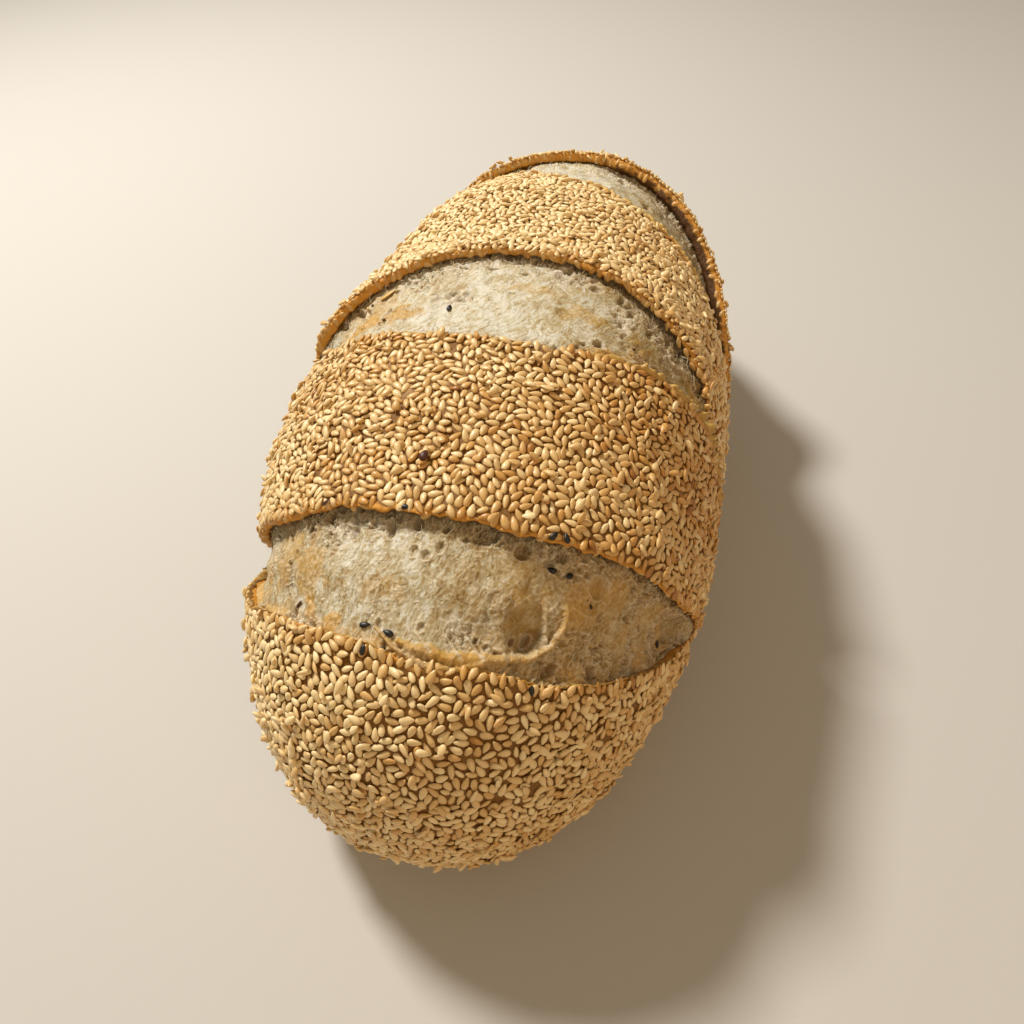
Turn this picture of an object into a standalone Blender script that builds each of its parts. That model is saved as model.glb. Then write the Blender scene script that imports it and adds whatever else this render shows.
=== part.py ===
"""Sesame sourdough loaf: one baked body with three opened scores, and sesame seeds fused to its crust.

The loaf lies along Y with its near end at -Y. It stands on Z = 0, and its origin is under its middle.
All sizes below are in millimetres. An angle is measured round the loaf's long axis, at the height of
its widest line: 0 points to +X, 90 degrees straight up and 180 degrees to -X.

The body starts as a UV sphere with its poles at the loaf's two ends. Each ring of the sphere follows
one line across the loaf, such as the rim or the lip of an opened score, and each meridian runs over
the crust from the near end to the far end, folding back under every lip on its way.
"""
import math
import random

import bmesh
import bpy
import numpy as np
from mathutils import Matrix, Vector
from mathutils.bvhtree import BVHTree

MM = 0.001
HALVINGS = 40               # steps that find a place on the crust to far below a micrometre

# Driving dimensions of the smooth loaf.
LENGTH = 252.0
WIDTH = 123.8
HEIGHT = 99.3
WAIST_HEIGHT = 31.2         # height of the widest line above the base
KEEL_DEPTH = 46.8           # the round form runs on this far below the waist; the base cuts it flat
WIDTH_TAPER = -0.076        # share by which the far end is narrower, and the near end wider
PLAN_POWER = 2.18           # 2 is an ellipse seen from above, more is squarer
PROFILE_POWER = 2.42        # the same for the outline seen from the side

# The opened scores, from the near end. Each is bounded by a rim, where the nearer crust breaks off,
# and a lip, where the next crust lifts. A line's four numbers are its place along Y at the crown, its
# slant, and the linear and square parts of its sweep along Y as it comes down the loaf's sides. A
# lip's rise above the smooth loaf has its height at the crown, its lean towards +X, and its bow down
# both sides. The crumb is deeper on the loaf's sides than on the crown by the share side_depth.
SCORES = (
    {"rim": (-103.5, -3.6, 17.5, 31.3), "lip": (-78.7, 1.1, 11.6, 15.3), "rise": (1.4, 1.7, -1.8),
     "side_depth": 1.5},
    {"rim": (-30.4, 1.9, 20.5, 3.0), "lip": (3.3, 5.2, -54.3, -3.1), "rise": (2.0, -1.1, 1.8),
     "side_depth": 0.8},
    {"rim": (60.1, -21.3, -40.7, -15.3), "lip": (84.2, 8.1, -61.8, 11.5), "rise": (3.9, 1.4, -0.8),
     "side_depth": 0.8},
)
SCORE_WIDTH_LEAST = 5.0     # an opening narrows to this crease at the foot of the loaf
SCORE_WIDTH_SOFTENING = 2.0  # rounds the change from open to narrowed
SCORE_WIDTH_DEEP = 11.0     # an opening this wide has its full depth
CREASE_OPENNESS = 0.12      # share of the full depth that a closed crease keeps
CLOSE_FROM, CLOSE_TO = 0.15, -0.40   # sine of the angle where an opening starts to close, and where it has
CROWN_SOFTENING = 0.15      # rounds the change of a line's course at the waist
LINE_WAVER = 0.7            # the cut lines wander by this much
LINE_WAVES = ((0.6, 7.0, 1.0), (0.4, 12.0, 2.0))   # share of the waver, waves in a turn, share of the phase
LIP_PHASE = 2.0             # a lip wanders otherwise than its rim

# The crumb between rim and lip: share of the way across, and depth below the smooth loaf.
CRUMB_PROFILE = ((0.07, 1.5), (0.28, 1.9), (0.52, 1.7), (0.76, 2.6), (0.94, 4.0))
# The lip: distance beyond its edge line, depth below the smooth loaf, and share of the lip's rise.
LIP_PROFILE = ((2.4, 4.9, 0.0), (1.1, 2.5, 0.2), (0.0, 0.9, 0.6), (0.9, 0.0, 1.0), (4.0, 0.0, 0.9),
               (10.0, 0.0, 0.4))
LIP_REACH_LEAST = 0.3       # share of those distances that is left where the opening closes
# Torn pockets in the crumb: place on X and Y, half-widths on X and Y, and depth. Only what lies this
# deep below the smooth loaf is torn, so the crust round the pockets stays whole.
POCKETS = ((23.8, -93.5, 5.4, 4.0, 3.2), (26.0, -24.0, 3.6, 2.8, 2.4), (40.0, -19.0, 3.6, 3.4, 2.2))
POCKETS_BELOW = 1.0

# Mesh of the body.
AROUND = 40                 # meridians, closer together on the crown than under the loaf
CROWN_SHARE = 0.65          # spacing of the meridians on the crown against an even spacing
CROWN_POWER = 4             # how late, on the way down, the spacing widens again
CAP_RINGS = 8               # rings between an end of the loaf and the first line across it
CAP_TURN = math.radians(72)  # how far those rings turn round the end
BAND_RINGS = 4              # rings on a band of crust between two openings
BASE_SNAP = 0.4             # a point this near the base's plane is moved onto it
SHARP_ANGLE = math.radians(35)

# The slow unevenness of the crust: its height, its waves as share of that height, length along Y for
# one radian, waves in a turn and phase, and the distance from the loaf's ends over which it fades.
SWELL = 0.5
SWELL_WAVES = ((0.6, 13.0, 2.0, 0.0), (0.4, 7.5, -3.0, 1.0))
SWELL_FADE = 12.0

# Sesame seeds.
SEED_LENGTH, SEED_WIDTH, SEED_THICKNESS = 3.3, 2.0, 1.1
SEED_SPREAD = 0.12          # seeds differ in size by up to this share
SEED_TIP = 0.42             # how much narrower the pointed end is
SEED_SIDES, SEED_BANDS = 6, 3
SEED_SINK = 0.12            # depth of a seed's middle below the crust
SEED_COUNT = 250
SEED_GAP = 6.8              # least distance between two seeds
SEED_CLEAR_RIM = 4.5        # distance kept from a rim
SEED_CLEAR_LIP = 6.0        # distance kept from a lip
SEED_CLEAR_BASE = 5.0       # height of the lowest seeds' middles
SEED_ANGLES = (-28.0, 208.0)  # degrees round the loaf between which seeds are thrown
THROWS_A_SEED = 60
RANDOM_SEED = 41


def remove_all_objects():
    for item in list(bpy.data.objects):
        bpy.data.objects.remove(item, do_unlink=True)


def new_collection(name):
    group = bpy.data.collections.new(name)
    bpy.context.scene.collection.children.link(group)
    return group


def matt_material(name, colour, roughness):
    """A dry, non-metallic finish in a linear colour."""
    material = bpy.data.materials.new(name)
    material.use_nodes = True
    shader = material.node_tree.nodes["Principled BSDF"]
    shader.inputs["Base Color"].default_value = (*colour, 1.0)
    shader.inputs["Roughness"].default_value = roughness
    shader.inputs["Metallic"].default_value = 0.0
    return material


def smooth_step(start, end, value):
    share = np.clip((value - start) / (end - start), 0.0, 1.0)
    return share * share * (3.0 - 2.0 * share)


def crust_radius(y, angle):
    """Distance from the loaf's axis to the smooth crust, found by halving."""
    along = 2.0 * y / LENGTH
    side, rise = np.abs(np.cos(angle)), np.sin(angle)
    half_width = WIDTH / 2.0 * (1.0 + WIDTH_TAPER * along)
    half_height = np.where(rise >= 0.0, HEIGHT - WAIST_HEIGHT, KEEL_DEPTH)
    low = np.zeros(np.broadcast(y, angle).shape)
    high = low + WIDTH
    for _ in range(HALVINGS):
        middle = (low + high) / 2.0
        plan = (middle * side / half_width) ** PLAN_POWER + np.abs(along) ** PLAN_POWER
        size = plan ** (PROFILE_POWER / PLAN_POWER) + (middle * np.abs(rise) / half_height) ** PROFILE_POWER
        low = np.where(size < 1.0, middle, low)
        high = np.where(size < 1.0, high, middle)
    return (low + high) / 2.0


def crust_point(y, angle):
    radius = crust_radius(y, angle)
    return np.stack([radius * np.cos(angle), y, WAIST_HEIGHT + radius * np.sin(angle)], axis=-1)


def crust_normal(y, angle):
    """Outward direction of the smooth crust, from small steps along the loaf and round it."""
    step = 0.01
    inner = np.clip(y, -LENGTH / 2.0 + 2.0 * step, LENGTH / 2.0 - 2.0 * step)
    along = crust_point(inner + step, angle) - crust_point(inner - step, angle)
    around = crust_point(inner, angle + step) - crust_point(inner, angle - step)
    outward = np.cross(along, around)
    return outward / np.linalg.norm(outward, axis=-1, keepdims=True)


def swell(y, angle):
    """The slow unevenness of a hand-shaped loaf, which fades towards its ends."""
    waves = sum(share * np.sin(y / reach + turns * angle + phase)
                for share, reach, turns, phase in SWELL_WAVES)
    return SWELL * waves * smooth_step(0.0, SWELL_FADE, LENGTH / 2.0 - np.abs(y))


def cut_line(numbers, angle, phase):
    """Place along Y of a rim or lip."""
    crown, slant, sweep, square = numbers
    rise = np.sin(angle)
    drop = 1.0 - 0.5 * (rise + np.sqrt(rise * rise + CROWN_SOFTENING ** 2))
    waves = sum(share * np.sin(turns * angle + part * phase) for share, turns, part in LINE_WAVES)
    return crown + slant * np.cos(angle) * rise + sweep * drop + square * drop * drop + LINE_WAVER * waves


def opening(score, angle, phase):
    """Rim, lip and openness, from 0 to 1, of one score at an angle."""
    rim = cut_line(score["rim"], angle, phase)
    lip = cut_line(score["lip"], angle, phase + LIP_PHASE)
    closing = smooth_step(CLOSE_TO, CLOSE_FROM, np.sin(angle))
    spare = lip - rim - SCORE_WIDTH_LEAST
    spare = 0.5 * (spare + np.sqrt(spare * spare + SCORE_WIDTH_SOFTENING ** 2)) * closing
    width = SCORE_WIDTH_LEAST + spare
    opened = closing * smooth_step(0.0, SCORE_WIDTH_DEEP - SCORE_WIDTH_LEAST, spare)
    openness = CREASE_OPENNESS + (1.0 - CREASE_OPENNESS) * opened
    middle = (rim + lip) / 2.0
    return middle - width / 2.0, middle + width / 2.0, openness


def score_rings(score, angle, phase):
    """(y, height above the smooth crust) of each ring from a score's rim to behind its lip."""
    rim, lip, openness = opening(score, angle, phase)
    side = np.cos(angle)
    deepening = 1.0 + score["side_depth"] * side * side
    crown, lean, bow = score["rise"]
    rise = (crown + lean * side + bow * side * side) * openness
    rings = [(rim, np.zeros_like(angle))]
    for share, depth in CRUMB_PROFILE:
        rings.append((rim + share * (lip - rim), -depth * deepening * openness))
    for reach, depth, rise_share in LIP_PROFILE:
        edge = lip + reach * np.maximum(openness, LIP_REACH_LEAST)
        rings.append((edge, rise_share * rise - depth * openness))
    return rings


def cap_rings(pole, line, count):
    """Rings from an end of the loaf to the first line across it, close together round the end."""
    rings = []
    for number in range(1, count + 1):
        turn = CAP_TURN * number / (count + 1)
        share = (1.0 - math.cos(turn)) / (1.0 - math.cos(CAP_TURN))
        rings.append((pole + (line - pole) * share, np.zeros_like(line)))
    return rings


def band_rings(start, end):
    """Evenly spaced rings between two lines across the loaf."""
    shares = [number / (BAND_RINGS + 1) for number in range(1, BAND_RINGS + 1)]
    return [(start + (end - start) * share, np.zeros_like(start)) for share in shares]


def loaf_rings(angle):
    """Every ring of the body in order, as (y, height above the smooth crust) at the given angles."""
    half = LENGTH / 2.0
    scores = [score_rings(score, angle, float(number)) for number, score in enumerate(SCORES)]
    rings = cap_rings(-half, scores[0][0][0], CAP_RINGS)
    for number, score in enumerate(scores):
        rings += score
        if number + 1 < len(scores):
            rings += band_rings(score[-1][0], scores[number + 1][0][0])
    rings += list(reversed(cap_rings(half, scores[-1][-1][0], CAP_RINGS)))
    return rings


def pocket_depth(points):
    """Depth of the torn pockets at points on the upper side of the loaf."""
    depth = np.zeros(points.shape[:-1])
    for x, y, half_x, half_y, pocket in POCKETS:
        away = ((points[..., 0] - x) / half_x) ** 2 + ((points[..., 1] - y) / half_y) ** 2
        depth += pocket * np.exp(-away)
    return depth * (points[..., 2] > WAIST_HEIGHT)


def meridian_angle(turn):
    """Angle of a meridian, from its even turn on the sphere: closer together on the crown."""
    away = turn - math.pi / 2.0
    away = (away + math.pi) % (2.0 * math.pi) - math.pi
    share = abs(away) / math.pi
    spread = CROWN_SHARE * share + (1.0 - CROWN_SHARE) * share ** CROWN_POWER
    return math.pi / 2.0 + math.copysign(math.pi * spread, away)


def body_surface():
    """Points of the body as an array [ring, meridian, xyz], without the two poles."""
    turns = [2.0 * math.pi * number / AROUND for number in range(AROUND)]
    angle = np.array([meridian_angle(turn) for turn in turns])
    surface = []
    for y, height in loaf_rings(angle):
        outward = crust_normal(y, angle)
        point = crust_point(y, angle) + outward * (height + swell(y, angle))[:, None]
        torn = pocket_depth(point) * (height < -POCKETS_BELOW)
        surface.append(point - outward * torn[:, None])
    return np.array(surface)


def make_body(group, material):
    """The loaf without its seeds: a UV sphere drawn out over the rings, cut flat at the base."""
    surface = body_surface()
    rings = len(surface) + 1
    bpy.ops.mesh.primitive_uv_sphere_add(segments=AROUND, ring_count=rings, radius=1.0)
    body = bpy.context.object
    body.name = "sesame_loaf"
    body.data.name = body.name
    for old in list(body.users_collection):
        old.objects.unlink(body)
    group.objects.link(body)
    body.data.materials.append(material)

    mesh = bmesh.new()
    mesh.from_mesh(body.data)
    for vert in mesh.verts:
        ring = round(math.acos(max(-1.0, min(1.0, vert.co.z))) / math.pi * rings)
        if ring in (0, rings):
            end = -1.0 if ring == 0 else 1.0
            vert.co = Vector((0.0, end * LENGTH / 2.0, WAIST_HEIGHT)) * MM
        else:
            turn = math.atan2(vert.co.y, vert.co.x)
            meridian = round(turn / (2.0 * math.pi) * AROUND) % AROUND
            vert.co = Vector(surface[ring - 1, meridian]) * MM
    everything = mesh.verts[:] + mesh.edges[:] + mesh.faces[:]
    cut = bmesh.ops.bisect_plane(mesh, geom=everything, dist=BASE_SNAP * MM, use_snap_center=True,
                                 plane_co=(0, 0, 0), plane_no=(0, 0, 1), clear_inner=True)
    edges = [item for item in cut["geom_cut"] if isinstance(item, bmesh.types.BMEdge)]
    bmesh.ops.contextual_create(mesh, geom=edges)
    bmesh.ops.triangulate(mesh, faces=mesh.faces[:])
    bmesh.ops.recalc_face_normals(mesh, faces=mesh.faces[:])
    mesh.to_mesh(body.data)
    mesh.free()
    return body


def seed_mesh(mesh, place):
    """One flattened teardrop added to a mesh, pointed towards its own +X."""
    made = bmesh.ops.create_uvsphere(mesh, u_segments=SEED_SIDES, v_segments=SEED_BANDS, radius=0.5,
                                     matrix=Matrix.Rotation(math.pi / 2.0, 4, "Y"))
    for vert in made["verts"]:
        narrow = 1.0 - SEED_TIP * (vert.co.x + 0.5) ** 2
        vert.co = Vector((vert.co.x * SEED_LENGTH, vert.co.y * SEED_WIDTH * narrow,
                          vert.co.z * SEED_THICKNESS * narrow)) * MM
    bmesh.ops.transform(mesh, matrix=place, verts=made["verts"])


def on_seeded_crust(y, angle):
    """Whether a place lies on seeded crust, clear of every opening."""
    for number, score in enumerate(SCORES):
        rim, lip, _ = opening(score, np.array([angle]), float(number))
        if rim[0] - SEED_CLEAR_RIM < y < lip[0] + SEED_CLEAR_LIP:
            return False
    return True


def seed_places(body):
    """Places of the seeds, spread over the crust by throwing at random and keeping a distance."""
    draw = random.Random(RANDOM_SEED)
    mesh = bmesh.new()
    mesh.from_mesh(body.data)
    tree = BVHTree.FromBMesh(mesh)
    places, taken = [], []
    for _ in range(THROWS_A_SEED * SEED_COUNT):
        if len(places) == SEED_COUNT:
            break
        y = LENGTH / 2.0 * math.sin(draw.uniform(-math.pi / 2.0, math.pi / 2.0))
        angle = math.radians(draw.uniform(*SEED_ANGLES))
        if not on_seeded_crust(y, angle):
            continue
        smooth = Vector(crust_point(np.array([y]), np.array([angle]))[0]) * MM
        spot, normal, _, _ = tree.find_nearest(smooth)
        near = any((spot - other).length < SEED_GAP * MM for other in taken)
        if near or spot.z < SEED_CLEAR_BASE * MM:
            continue
        taken.append(spot)
        facing = normal.to_track_quat("Z", "Y").to_matrix().to_4x4()
        size = 1.0 + draw.uniform(-SEED_SPREAD, SEED_SPREAD)
        places.append(Matrix.Translation(spot - normal * SEED_SINK * MM) @ facing
                      @ Matrix.Rotation(draw.uniform(0.0, 2.0 * math.pi), 4, "Z") @ Matrix.Scale(size, 4))
    mesh.free()
    return places


def make_seeds(group, body, material):
    """All the seeds as one mesh of separate closed teardrops."""
    mesh = bmesh.new()
    for place in seed_places(body):
        seed_mesh(mesh, place)
    data = bpy.data.meshes.new("sesame_seeds")
    mesh.to_mesh(data)
    mesh.free()
    data.materials.append(material)
    seeds = bpy.data.objects.new("sesame_seeds", data)
    seeds.hide_render = True
    seeds.display_type = "WIRE"
    group.objects.link(seeds)
    return seeds


def fuse(body, seeds_group):
    """One union joins the body and every seed, and is applied."""
    union = body.modifiers.new("fuse seeds", "BOOLEAN")
    union.operation = "UNION"
    union.solver = "EXACT"
    union.operand_type = "COLLECTION"
    union.collection = seeds_group
    bpy.context.view_layer.update()
    fused = bpy.data.meshes.new_from_object(body.evaluated_get(bpy.context.evaluated_depsgraph_get()))
    body.modifiers.remove(union)
    old = body.data
    body.data = fused
    fused.name = body.name
    bpy.data.meshes.remove(old)
    for item in list(seeds_group.objects):
        bpy.data.objects.remove(item, do_unlink=True)
    bpy.data.collections.remove(seeds_group)


def shade(body):
    body.data.shade_smooth()
    body.data.set_sharp_from_angle(angle=SHARP_ANGLE)


def main():
    remove_all_objects()
    loaf_group = new_collection("sesame sourdough loaf")
    seeds_group = new_collection("seeds to fuse")
    crust = matt_material("baked crust", (0.50, 0.26, 0.09), 0.75)
    sesame = matt_material("toasted sesame", (0.72, 0.50, 0.25), 0.55)
    body = make_body(loaf_group, crust)
    make_seeds(seeds_group, body, sesame)
    fuse(body, seeds_group)
    shade(body)


main()
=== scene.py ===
"""The looks of a whole sesame sourdough loaf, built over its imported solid.

The loaf lies along Y with its near end at -Y and stands on Z = 0. Sizes are in millimetres until a mesh
is written. An angle is measured round the loaf's long axis, at the height of its widest line: 0 points
to +X, 90 degrees straight up and 180 degrees to -X. "Across" is the distance over the crust from the
crown, and "along" is the place on Y.
"""
from __future__ import annotations

import logging
import math
from collections.abc import Callable
from dataclasses import dataclass
from enum import Enum

import bpy
import numpy as np
from bpy.types import Material, Node, NodeSocket, NodeTree, Object
from mathutils import Matrix, Vector
from mathutils.kdtree import KDTree


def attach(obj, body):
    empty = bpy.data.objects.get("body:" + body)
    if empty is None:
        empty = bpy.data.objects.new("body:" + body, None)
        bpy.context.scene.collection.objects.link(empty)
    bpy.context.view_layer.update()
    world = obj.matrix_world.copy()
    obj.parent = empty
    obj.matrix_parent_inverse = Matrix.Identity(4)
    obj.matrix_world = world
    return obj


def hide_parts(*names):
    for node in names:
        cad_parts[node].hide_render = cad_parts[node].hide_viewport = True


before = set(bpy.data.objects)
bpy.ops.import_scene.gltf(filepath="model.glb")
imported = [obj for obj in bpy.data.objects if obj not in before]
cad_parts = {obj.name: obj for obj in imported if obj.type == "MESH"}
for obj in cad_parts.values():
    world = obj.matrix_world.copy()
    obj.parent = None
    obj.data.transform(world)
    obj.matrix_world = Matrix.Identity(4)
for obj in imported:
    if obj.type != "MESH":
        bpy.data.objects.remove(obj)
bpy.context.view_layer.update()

CAD_NODE = "sesame_loaf"
BODY = "root"
MM = 0.001
FAR_AWAY = 99.0     # a distance in millimetres beyond all that is asked about
Array = np.ndarray
Model = tuple[Array, Array]     # a small shape's vertices in millimetres, and its triangles
log = logging.getLogger("sesame loaf")


# ---- Numbers that vary over a surface ----

def smooth_step(start: float, end: float, value: Array) -> Array:
    """A soft change from 0 at start to 1 at end."""
    share = np.clip((value - start) / (end - start), 0.0, 1.0)
    return share * share * (3.0 - 2.0 * share)


def lattice(column: Array, row: Array, seed: int) -> Array:
    """Repeatable chance numbers.

    Args:
        column: whole numbers, one for each place.
        row: whole numbers of the same shape.
        seed: names the set of numbers.

    Returns:
        One number from 0 to 1 for each place.
    """
    mixed = (column * 374761393 + row * 668265263 + seed * 974634777) & 0xFFFFFFFF
    mixed = ((mixed ^ (mixed >> 13)) * 1274126177) & 0xFFFFFFFF
    return (mixed ^ (mixed >> 16)) / 0xFFFFFFFF


def noise(across: Array, along: Array, seed: int) -> Array:
    """Smooth unevenness with lumps one unit wide.

    Args:
        across: first coordinate, already divided by the size of a lump.
        along: second coordinate.
        seed: names the pattern.

    Returns:
        Values from -1 to 1.
    """
    column, row = np.floor(across), np.floor(along)
    x, y = across - column, along - row
    x, y = x * x * (3.0 - 2.0 * x), y * y * (3.0 - 2.0 * y)
    column, row = column.astype(np.int64), row.astype(np.int64)
    near = lattice(column, row, seed) * (1.0 - x) + lattice(column + 1, row, seed) * x
    far = lattice(column, row + 1, seed) * (1.0 - x) + lattice(column + 1, row + 1, seed) * x
    return 2.0 * (near * (1.0 - y) + far * y) - 1.0


def cells(across: Array, along: Array, seed: int) -> tuple[Array, Array, Array]:
    """The bubbles of a crumb: scattered centres, one in each unit square.

    Args:
        across: first coordinate, already divided by the size of a bubble.
        along: second coordinate.
        seed: names the pattern.

    Returns:
        Distance to the nearest centre, distance to the next one, and the nearest one's own number.
    """
    column, row = np.floor(across).astype(np.int64), np.floor(along).astype(np.int64)
    first = np.full(across.shape, 9.0)
    second = np.full(across.shape, 9.0)
    own = np.zeros(across.shape)
    for step_x in (-1, 0, 1):
        for step_y in (-1, 0, 1):
            there, place = column + step_x, row + step_y
            x = there + lattice(there, place, seed) - across
            y = place + lattice(there, place, seed + 1) - along
            away = np.hypot(x, y)
            closer = away < first
            second = np.where(closer, first, np.minimum(second, away))
            own = np.where(closer, lattice(there, place, seed + 2), own)
            first = np.where(closer, away, first)
    return first, second, own


def ripple(across: Array, size: float, seed: int) -> Array:
    """Smooth unevenness along a line, with waves of a size in millimetres."""
    return noise(across / size, across * 0.0, seed)


def unit(vectors: Array, spare: float = 0.0) -> Array:
    """Directions of vectors, at length 1; a little spare length saves those of length 0."""
    return vectors / (np.linalg.norm(vectors, axis=-1, keepdims=True) + spare)


def by_chance(normals: Array, draw: np.random.Generator) -> Array:
    """One chance direction for each normal, at right angles to it."""
    return unit(np.cross(normals, draw.normal(size=normals.shape)))


def read_between(grid: Array, row: Array, column: Array) -> Array:
    """Reads a grid of places between its lines.

    Args:
        grid: places, as [row, column, xyz].
        row: where to read, in rows and parts of them.
        column: the same for the columns.

    Returns:
        One place for each row and column.
    """
    low_row, low_column = row.astype(int), column.astype(int)
    x, y = (row - low_row)[..., None], (column - low_column)[..., None]
    return ((grid[low_row, low_column] * (1 - x) + grid[low_row + 1, low_column] * x) * (1 - y)
            + (grid[low_row, low_column + 1] * (1 - x) + grid[low_row + 1, low_column + 1] * x) * y)


def halved(low: Array, high: Array, rounds: int, is_inside: Callable[[Array], Array]) -> tuple[Array, Array]:
    """Closes in from both sides on where something ends.

    Args:
        low: numbers for which is_inside is true.
        high: numbers for which it isn't.
        rounds: how often the space between them is halved.
        is_inside: the test.

    Returns:
        The last numbers for which is_inside is true, and the first for which it isn't.
    """
    for _ in range(rounds):
        middle = (low + high) / 2.0
        inside = is_inside(middle)
        low, high = np.where(inside, middle, low), np.where(inside, high, middle)
    return low, high


# ---- The form of the loaf, the same as the solid's ----

@dataclass(frozen=True)
class Score:
    """One opened slash: four numbers each for its rim and its lip, and how far the lip lifts."""

    rim: tuple[float, float, float, float]
    lip: tuple[float, float, float, float]
    rise: tuple[float, float, float]
    side_depth: float
    phase: float
    flap: tuple[float, float, float]    # thickness of the lifted crust at -X, on the crown and at +X


@dataclass(frozen=True)
class LoafForm:
    """The smooth loaf and the lines of its three scores."""

    length: float = 252.0
    width: float = 123.8
    height: float = 99.3
    waist: float = 31.2
    keel: float = 46.8
    taper: float = -0.076
    plan_power: float = 2.18
    profile_power: float = 2.42
    swell_height: float = 0.5
    swell_fade: float = 12.0
    least_width: float = 5.0
    softening: float = 2.0
    deep_width: float = 11.0
    crease: float = 0.12
    close_from: float = 0.15
    close_to: float = -0.40
    crown_softening: float = 0.15
    waver: float = 0.7
    lip_phase: float = 2.0
    least_spread: float = 0.3
    scores: tuple[Score, Score, Score] = (
        Score((-103.5, -3.6, 17.5, 31.3), (-78.7, 1.1, 11.6, 15.3), (1.4, 1.7, -1.8), 1.5, 0.0,
              (2.2, 1.6, 1.3)),
        Score((-30.4, 1.9, 20.5, 3.0), (3.3, 5.2, -54.3, -3.1), (2.0, -1.1, 1.8), 0.8, 1.0,
              (3.2, 1.7, 2.0)),
        Score((60.1, -21.3, -40.7, -15.3), (84.2, 8.1, -61.8, 11.5), (3.9, 1.4, -0.8), 0.8, 2.0,
              (2.4, 2.6, 4.2)),
    )

    def radius(self, y: Array, angle: Array) -> Array:
        """Distance from the long axis to the smooth crust, found by halving."""
        side, rise, zero = np.cos(angle), np.sin(angle), np.zeros(np.broadcast(y, angle).shape)
        low, high = halved(zero, zero + self.width, 26,
                           lambda middle: self.size(middle * side, y, middle * rise) < 1.0)
        return (low + high) / 2.0

    def point(self, y: Array, angle: Array) -> Array:
        """Places on the smooth crust."""
        radius = self.radius(y, angle)
        x, z = radius * np.cos(angle), self.waist + radius * np.sin(angle)
        return np.stack([x, y + 0.0 * radius, z], axis=-1)

    def normal(self, y: Array, angle: Array) -> Array:
        """Outward directions of the smooth crust."""
        step = 0.02
        inner = np.clip(y, -self.length / 2.0 + 2.0 * step, self.length / 2.0 - 2.0 * step)
        along = self.point(inner + step, angle) - self.point(inner - step, angle)
        around = self.point(inner, angle + step) - self.point(inner, angle - step)
        return unit(np.cross(along, around))

    def swell(self, y: Array, angle: Array) -> Array:
        """The slow unevenness of a hand-shaped loaf."""
        waves = 0.6 * np.sin(y / 13.0 + 2.0 * angle) + 0.4 * np.sin(y / 7.5 - 3.0 * angle + 1.0)
        return self.swell_height * waves * smooth_step(0.0, self.swell_fade, self.length / 2.0 - np.abs(y))

    def cut_line(self, numbers: tuple[float, ...], angle: Array, phase: float) -> Array:
        """Place along Y of a rim or a lip."""
        crown, slant, sweep, square = numbers
        rise = np.sin(angle)
        drop = 1.0 - 0.5 * (rise + np.sqrt(rise * rise + self.crown_softening ** 2))
        waves = 0.6 * np.sin(7.0 * angle + phase) + 0.4 * np.sin(12.0 * angle + 2.0 * phase)
        return crown + slant * np.cos(angle) * rise + sweep * drop + square * drop * drop + self.waver * waves

    def opening(self, score: Score, angle: Array) -> tuple[Array, Array, Array]:
        """Rim, lip and openness, from 0 to 1, of one score.

        Args:
            score: the slash.
            angle: angles round the loaf.

        Returns:
            Place of the rim along Y, place of the lip, and openness.
        """
        rim = self.cut_line(score.rim, angle, score.phase)
        lip = self.cut_line(score.lip, angle, score.phase + self.lip_phase)
        closing = smooth_step(self.close_to, self.close_from, np.sin(angle))
        spare = lip - rim - self.least_width
        spare = 0.5 * (spare + np.sqrt(spare * spare + self.softening ** 2)) * closing
        width = self.least_width + spare
        opened = closing * smooth_step(0.0, self.deep_width - self.least_width, spare)
        middle = (rim + lip) / 2.0
        return middle - width / 2.0, middle + width / 2.0, self.crease + (1.0 - self.crease) * opened

    def lip_rise(self, score: Score, angle: Array, openness: Array) -> Array:
        """Height of a lip's edge above the smooth loaf."""
        side = np.cos(angle)
        crown, lean, bow = score.rise
        return (crown + lean * side + bow * side * side) * openness

    def spread(self, openness: Array) -> Array:
        """How far the rings beside an edge spread out, as a share: less where its score closes."""
        return np.maximum(openness, self.least_spread)

    def flap(self, score: Score, angle: Array) -> Array:
        """Thickness of a lip's lifted crust, below which torn crumb hangs."""
        return np.interp(np.cos(angle), (-1.0, 0.0, 1.0), score.flap)

    def angle_of(self, points: Array) -> Array:
        """Angle round the long axis of places in space, from -90 to 270 degrees."""
        angle = np.arctan2(points[..., 2] - self.waist, points[..., 0])
        return np.where(angle < -math.pi / 2.0, angle + 2.0 * math.pi, angle)

    def size(self, x: Array, y: Array, rise: Array) -> Array:
        """1 on the smooth crust, less inside it and more outside; the rise is counted from the waist."""
        along = 2.0 * y / self.length
        half_width = self.width / 2.0 * (1.0 + self.taper * along)
        half_height = np.where(rise >= 0.0, self.height - self.waist, self.keel)
        plan = np.abs(x / half_width) ** self.plan_power + np.abs(along) ** self.plan_power
        upright = np.abs(rise / half_height) ** self.profile_power
        return plan ** (self.profile_power / self.plan_power) + upright

    def size_at(self, points: Array) -> Array:
        """The same number for places in space."""
        return self.size(points[..., 0], points[..., 1], points[..., 2] - self.waist)

    def on_crust(self, points: Array) -> tuple[Array, Array]:
        """Places brought back onto the smooth crust, and the outward directions there."""
        heart = np.array([0.0, 0.0, self.waist])
        one = np.ones(points.shape[:-1])
        low, _ = halved(0.5 * one, 1.5 * one, 20,
                        lambda middle: self.size_at(heart + (points - heart) * middle[..., None]) < 1.0)
        places = heart + (points - heart) * low[..., None]
        step = 0.05
        slopes = [self.size_at(places + move) - self.size_at(places - move) for move in np.eye(3) * step]
        return places, unit(np.stack(slopes, axis=-1))

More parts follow.
